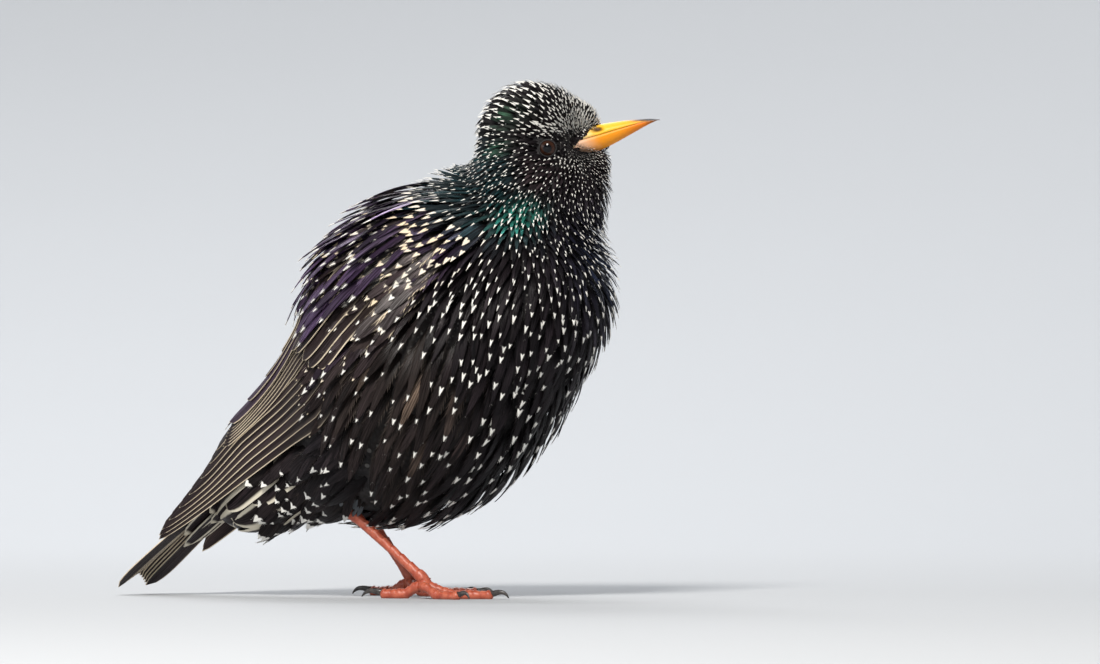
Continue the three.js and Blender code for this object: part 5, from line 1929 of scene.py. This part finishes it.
def toe_path(side, kind):
    length, radius, turn, beside, _ = TOES[kind]
    foot = FEET[side]
    a = math.radians(side * turn)
    forward = np.array([math.cos(a), math.sin(a), 0])
    root = np.array([foot[0], foot[1] + side * beside, 0]) + 1.2 * forward
    share = np.linspace(-0.04, 1.02, TOE_RINGS)
    path = root + share[:, None] * length * forward
    path[:, 2] = 3.6 + (radius * 0.75 - 3.6) * smooth(share, 0, 0.45)
    joints = 0.10 * np.cos(share * math.pi * (6 if kind != "hind" else 4)) + 1
    past = np.clip(((share - 1) * length + 1.3) / 1.6, 0, 1)
    radii = radius * joints * np.sqrt(1.02 - past**2) * np.where(share < 0, 0.8, 1)
    return path, radii, root + length * forward, forward


def make_leg(side, label):
    parts = []
    ankle, foot = ANKLES[side], FEET[side]
    share = np.linspace(-0.06, 1.05, 150)
    radii = np.interp(share, *zip(*TARSUS_RADII))
    radii = np.convolve(np.pad(radii, 4, mode="edge"), np.ones(9) / 9, mode="valid")
    path = ankle + share[:, None] * (foot - ankle)
    parts.append(scaly_tube(path, radii, 9, 0.34, (1, 0, 0.75)))
    knuckle = np.linspace(-1, 1, 14)
    ball = foot + np.array([0.6, 0, -1.9]) + knuckle[:, None] * np.array([2.3, 0, 0])
    parts.append(scaly_tube(ball, 2.35 * np.sqrt(1.02 - knuckle**2), 2, 0.1, (0, 0, 1)))
    for kind in TOES:
        path, radii, _, _ = toe_path(side, kind)
        parts.append(scaly_tube(path, radii, 11 if kind == "middle" else 8, 0.3, (0, 0, 1), 22, FLOOR_CLEAR))
    points, faces, scale = [], [], []
    for own_points, own_faces, own_scale in parts:
        start = sum(len(p) for p in points)
        points.append(own_points)
        faces += [tuple(start + v for v in face) for face in own_faces]
        scale.append(own_scale)
    made = make_object("leg_" + label, to_scene(np.concatenate(points)), faces)
    add_values(made, "plate", np.concatenate(scale))
    fix_normals(made)
    print(made.name, triangles(made.data), "triangles")
    return made


def make_claws(side, label):
    points, faces = [], []
    around, steps = 14, 22
    for kind in TOES:
        _, radius, _, _, claw = TOES[kind]
        _, _, tip, forward = toe_path(side, kind)
        s = np.linspace(0, 1, steps)
        bend = s * math.radians(75)
        path = tip + forward * (0.3 + claw * np.sin(bend) / 1.3)[:, None]
        path[:, 2] = radius * 0.75 + 0.5 + np.sin(math.pi * np.minimum(1, s * 1.1)) - 1.2 * s
        path[0] -= forward * 1.2
        radii = radius * 0.62 + (0.12 - radius * 0.62) * s**1.3
        aside, up = path_frames(path)
        turn = circle(around)
        ring = 0.8 * np.cos(turn)[None, :, None] * aside[:, None] + np.sin(turn)[None, :, None] * up[:, None]
        shape = path[:, None] + ring * radii[:, None, None]
        shape[..., 2] = np.maximum(shape[..., 2], FLOOR_CLEAR)
        start = sum(len(p) for p in points)
        points.append(shape.reshape(-1, 3))
        faces += tube_faces(steps - 1, around, start=start)
    made = make_object("claws_" + label, to_scene(np.concatenate(points)), faces)
    fix_normals(made)
    return made


def leg_material():
    material = skin_like_material("salmon leg scales", (0.36, 0.062, 0.030), (0.52, 0.13, 0.07), 500.0, 0.42)
    tree = material.node_tree
    shader = tree.nodes["Principled BSDF"]
    before = shader.inputs["Base Color"].links[0].from_socket
    plate = factor(tree, "plate")
    seam = times(tree, ramp(tree, plate, 0.72, 0.98), 0.7)
    color = mix_color(tree, seam, before, (*SEAM_RED, 1))
    tree.links.new(color, shader.inputs["Base Color"])
    shader.inputs["Subsurface Weight"].default_value = 0.15
    shader.inputs["Subsurface Radius"].default_value = (0.002, 0.0007, 0.0004)
    return material


leg_scales = leg_material()
claw_horn = skin_like_material("dark claw horn", (0.018, 0.015, 0.015), (0.07, 0.06, 0.055), 900.0, 0.3)
legs, claws = {}, {}
for label, side in SIDES:
    legs[label] = make_leg(side, label)
    legs[label].data.materials.append(leg_scales)
    claws[label] = make_claws(side, label)
    claws[label].data.materials.append(claw_horn)

# %% Say what each piece is
for template in TEMPLATES.values():
    bpy.data.objects.remove(template)
for piece in [skin, *coat]:
    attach(piece, "root")
for piece in [*wings["right"], *wings["left"], tail, tail_coverts]:
    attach(piece, "root")
for label in ("right", "left"):
    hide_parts("wing_" + label)
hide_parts("tail")
for piece, part in zip(bills, ("upper", "lower")):
    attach(piece, "root")
    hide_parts("bill_" + part)
for i, label in enumerate(("right", "left")):
    for piece in (eyes[i], lids[i], legs[label], claws[label]):
        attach(piece, "root")
    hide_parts("eye_" + label)
    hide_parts("tarsus_" + label, *[f"toe_{kind}_{label}" for kind in TOES])
    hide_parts(*[f"claw_{kind}_{label}" for kind in TOES])
FLESH = ["head", "neck", "torso", "thigh_right", "thigh_left", "tail_coverts_upper", "tail_coverts_under"]
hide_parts(*FLESH)

bpy.context.view_layer.update()
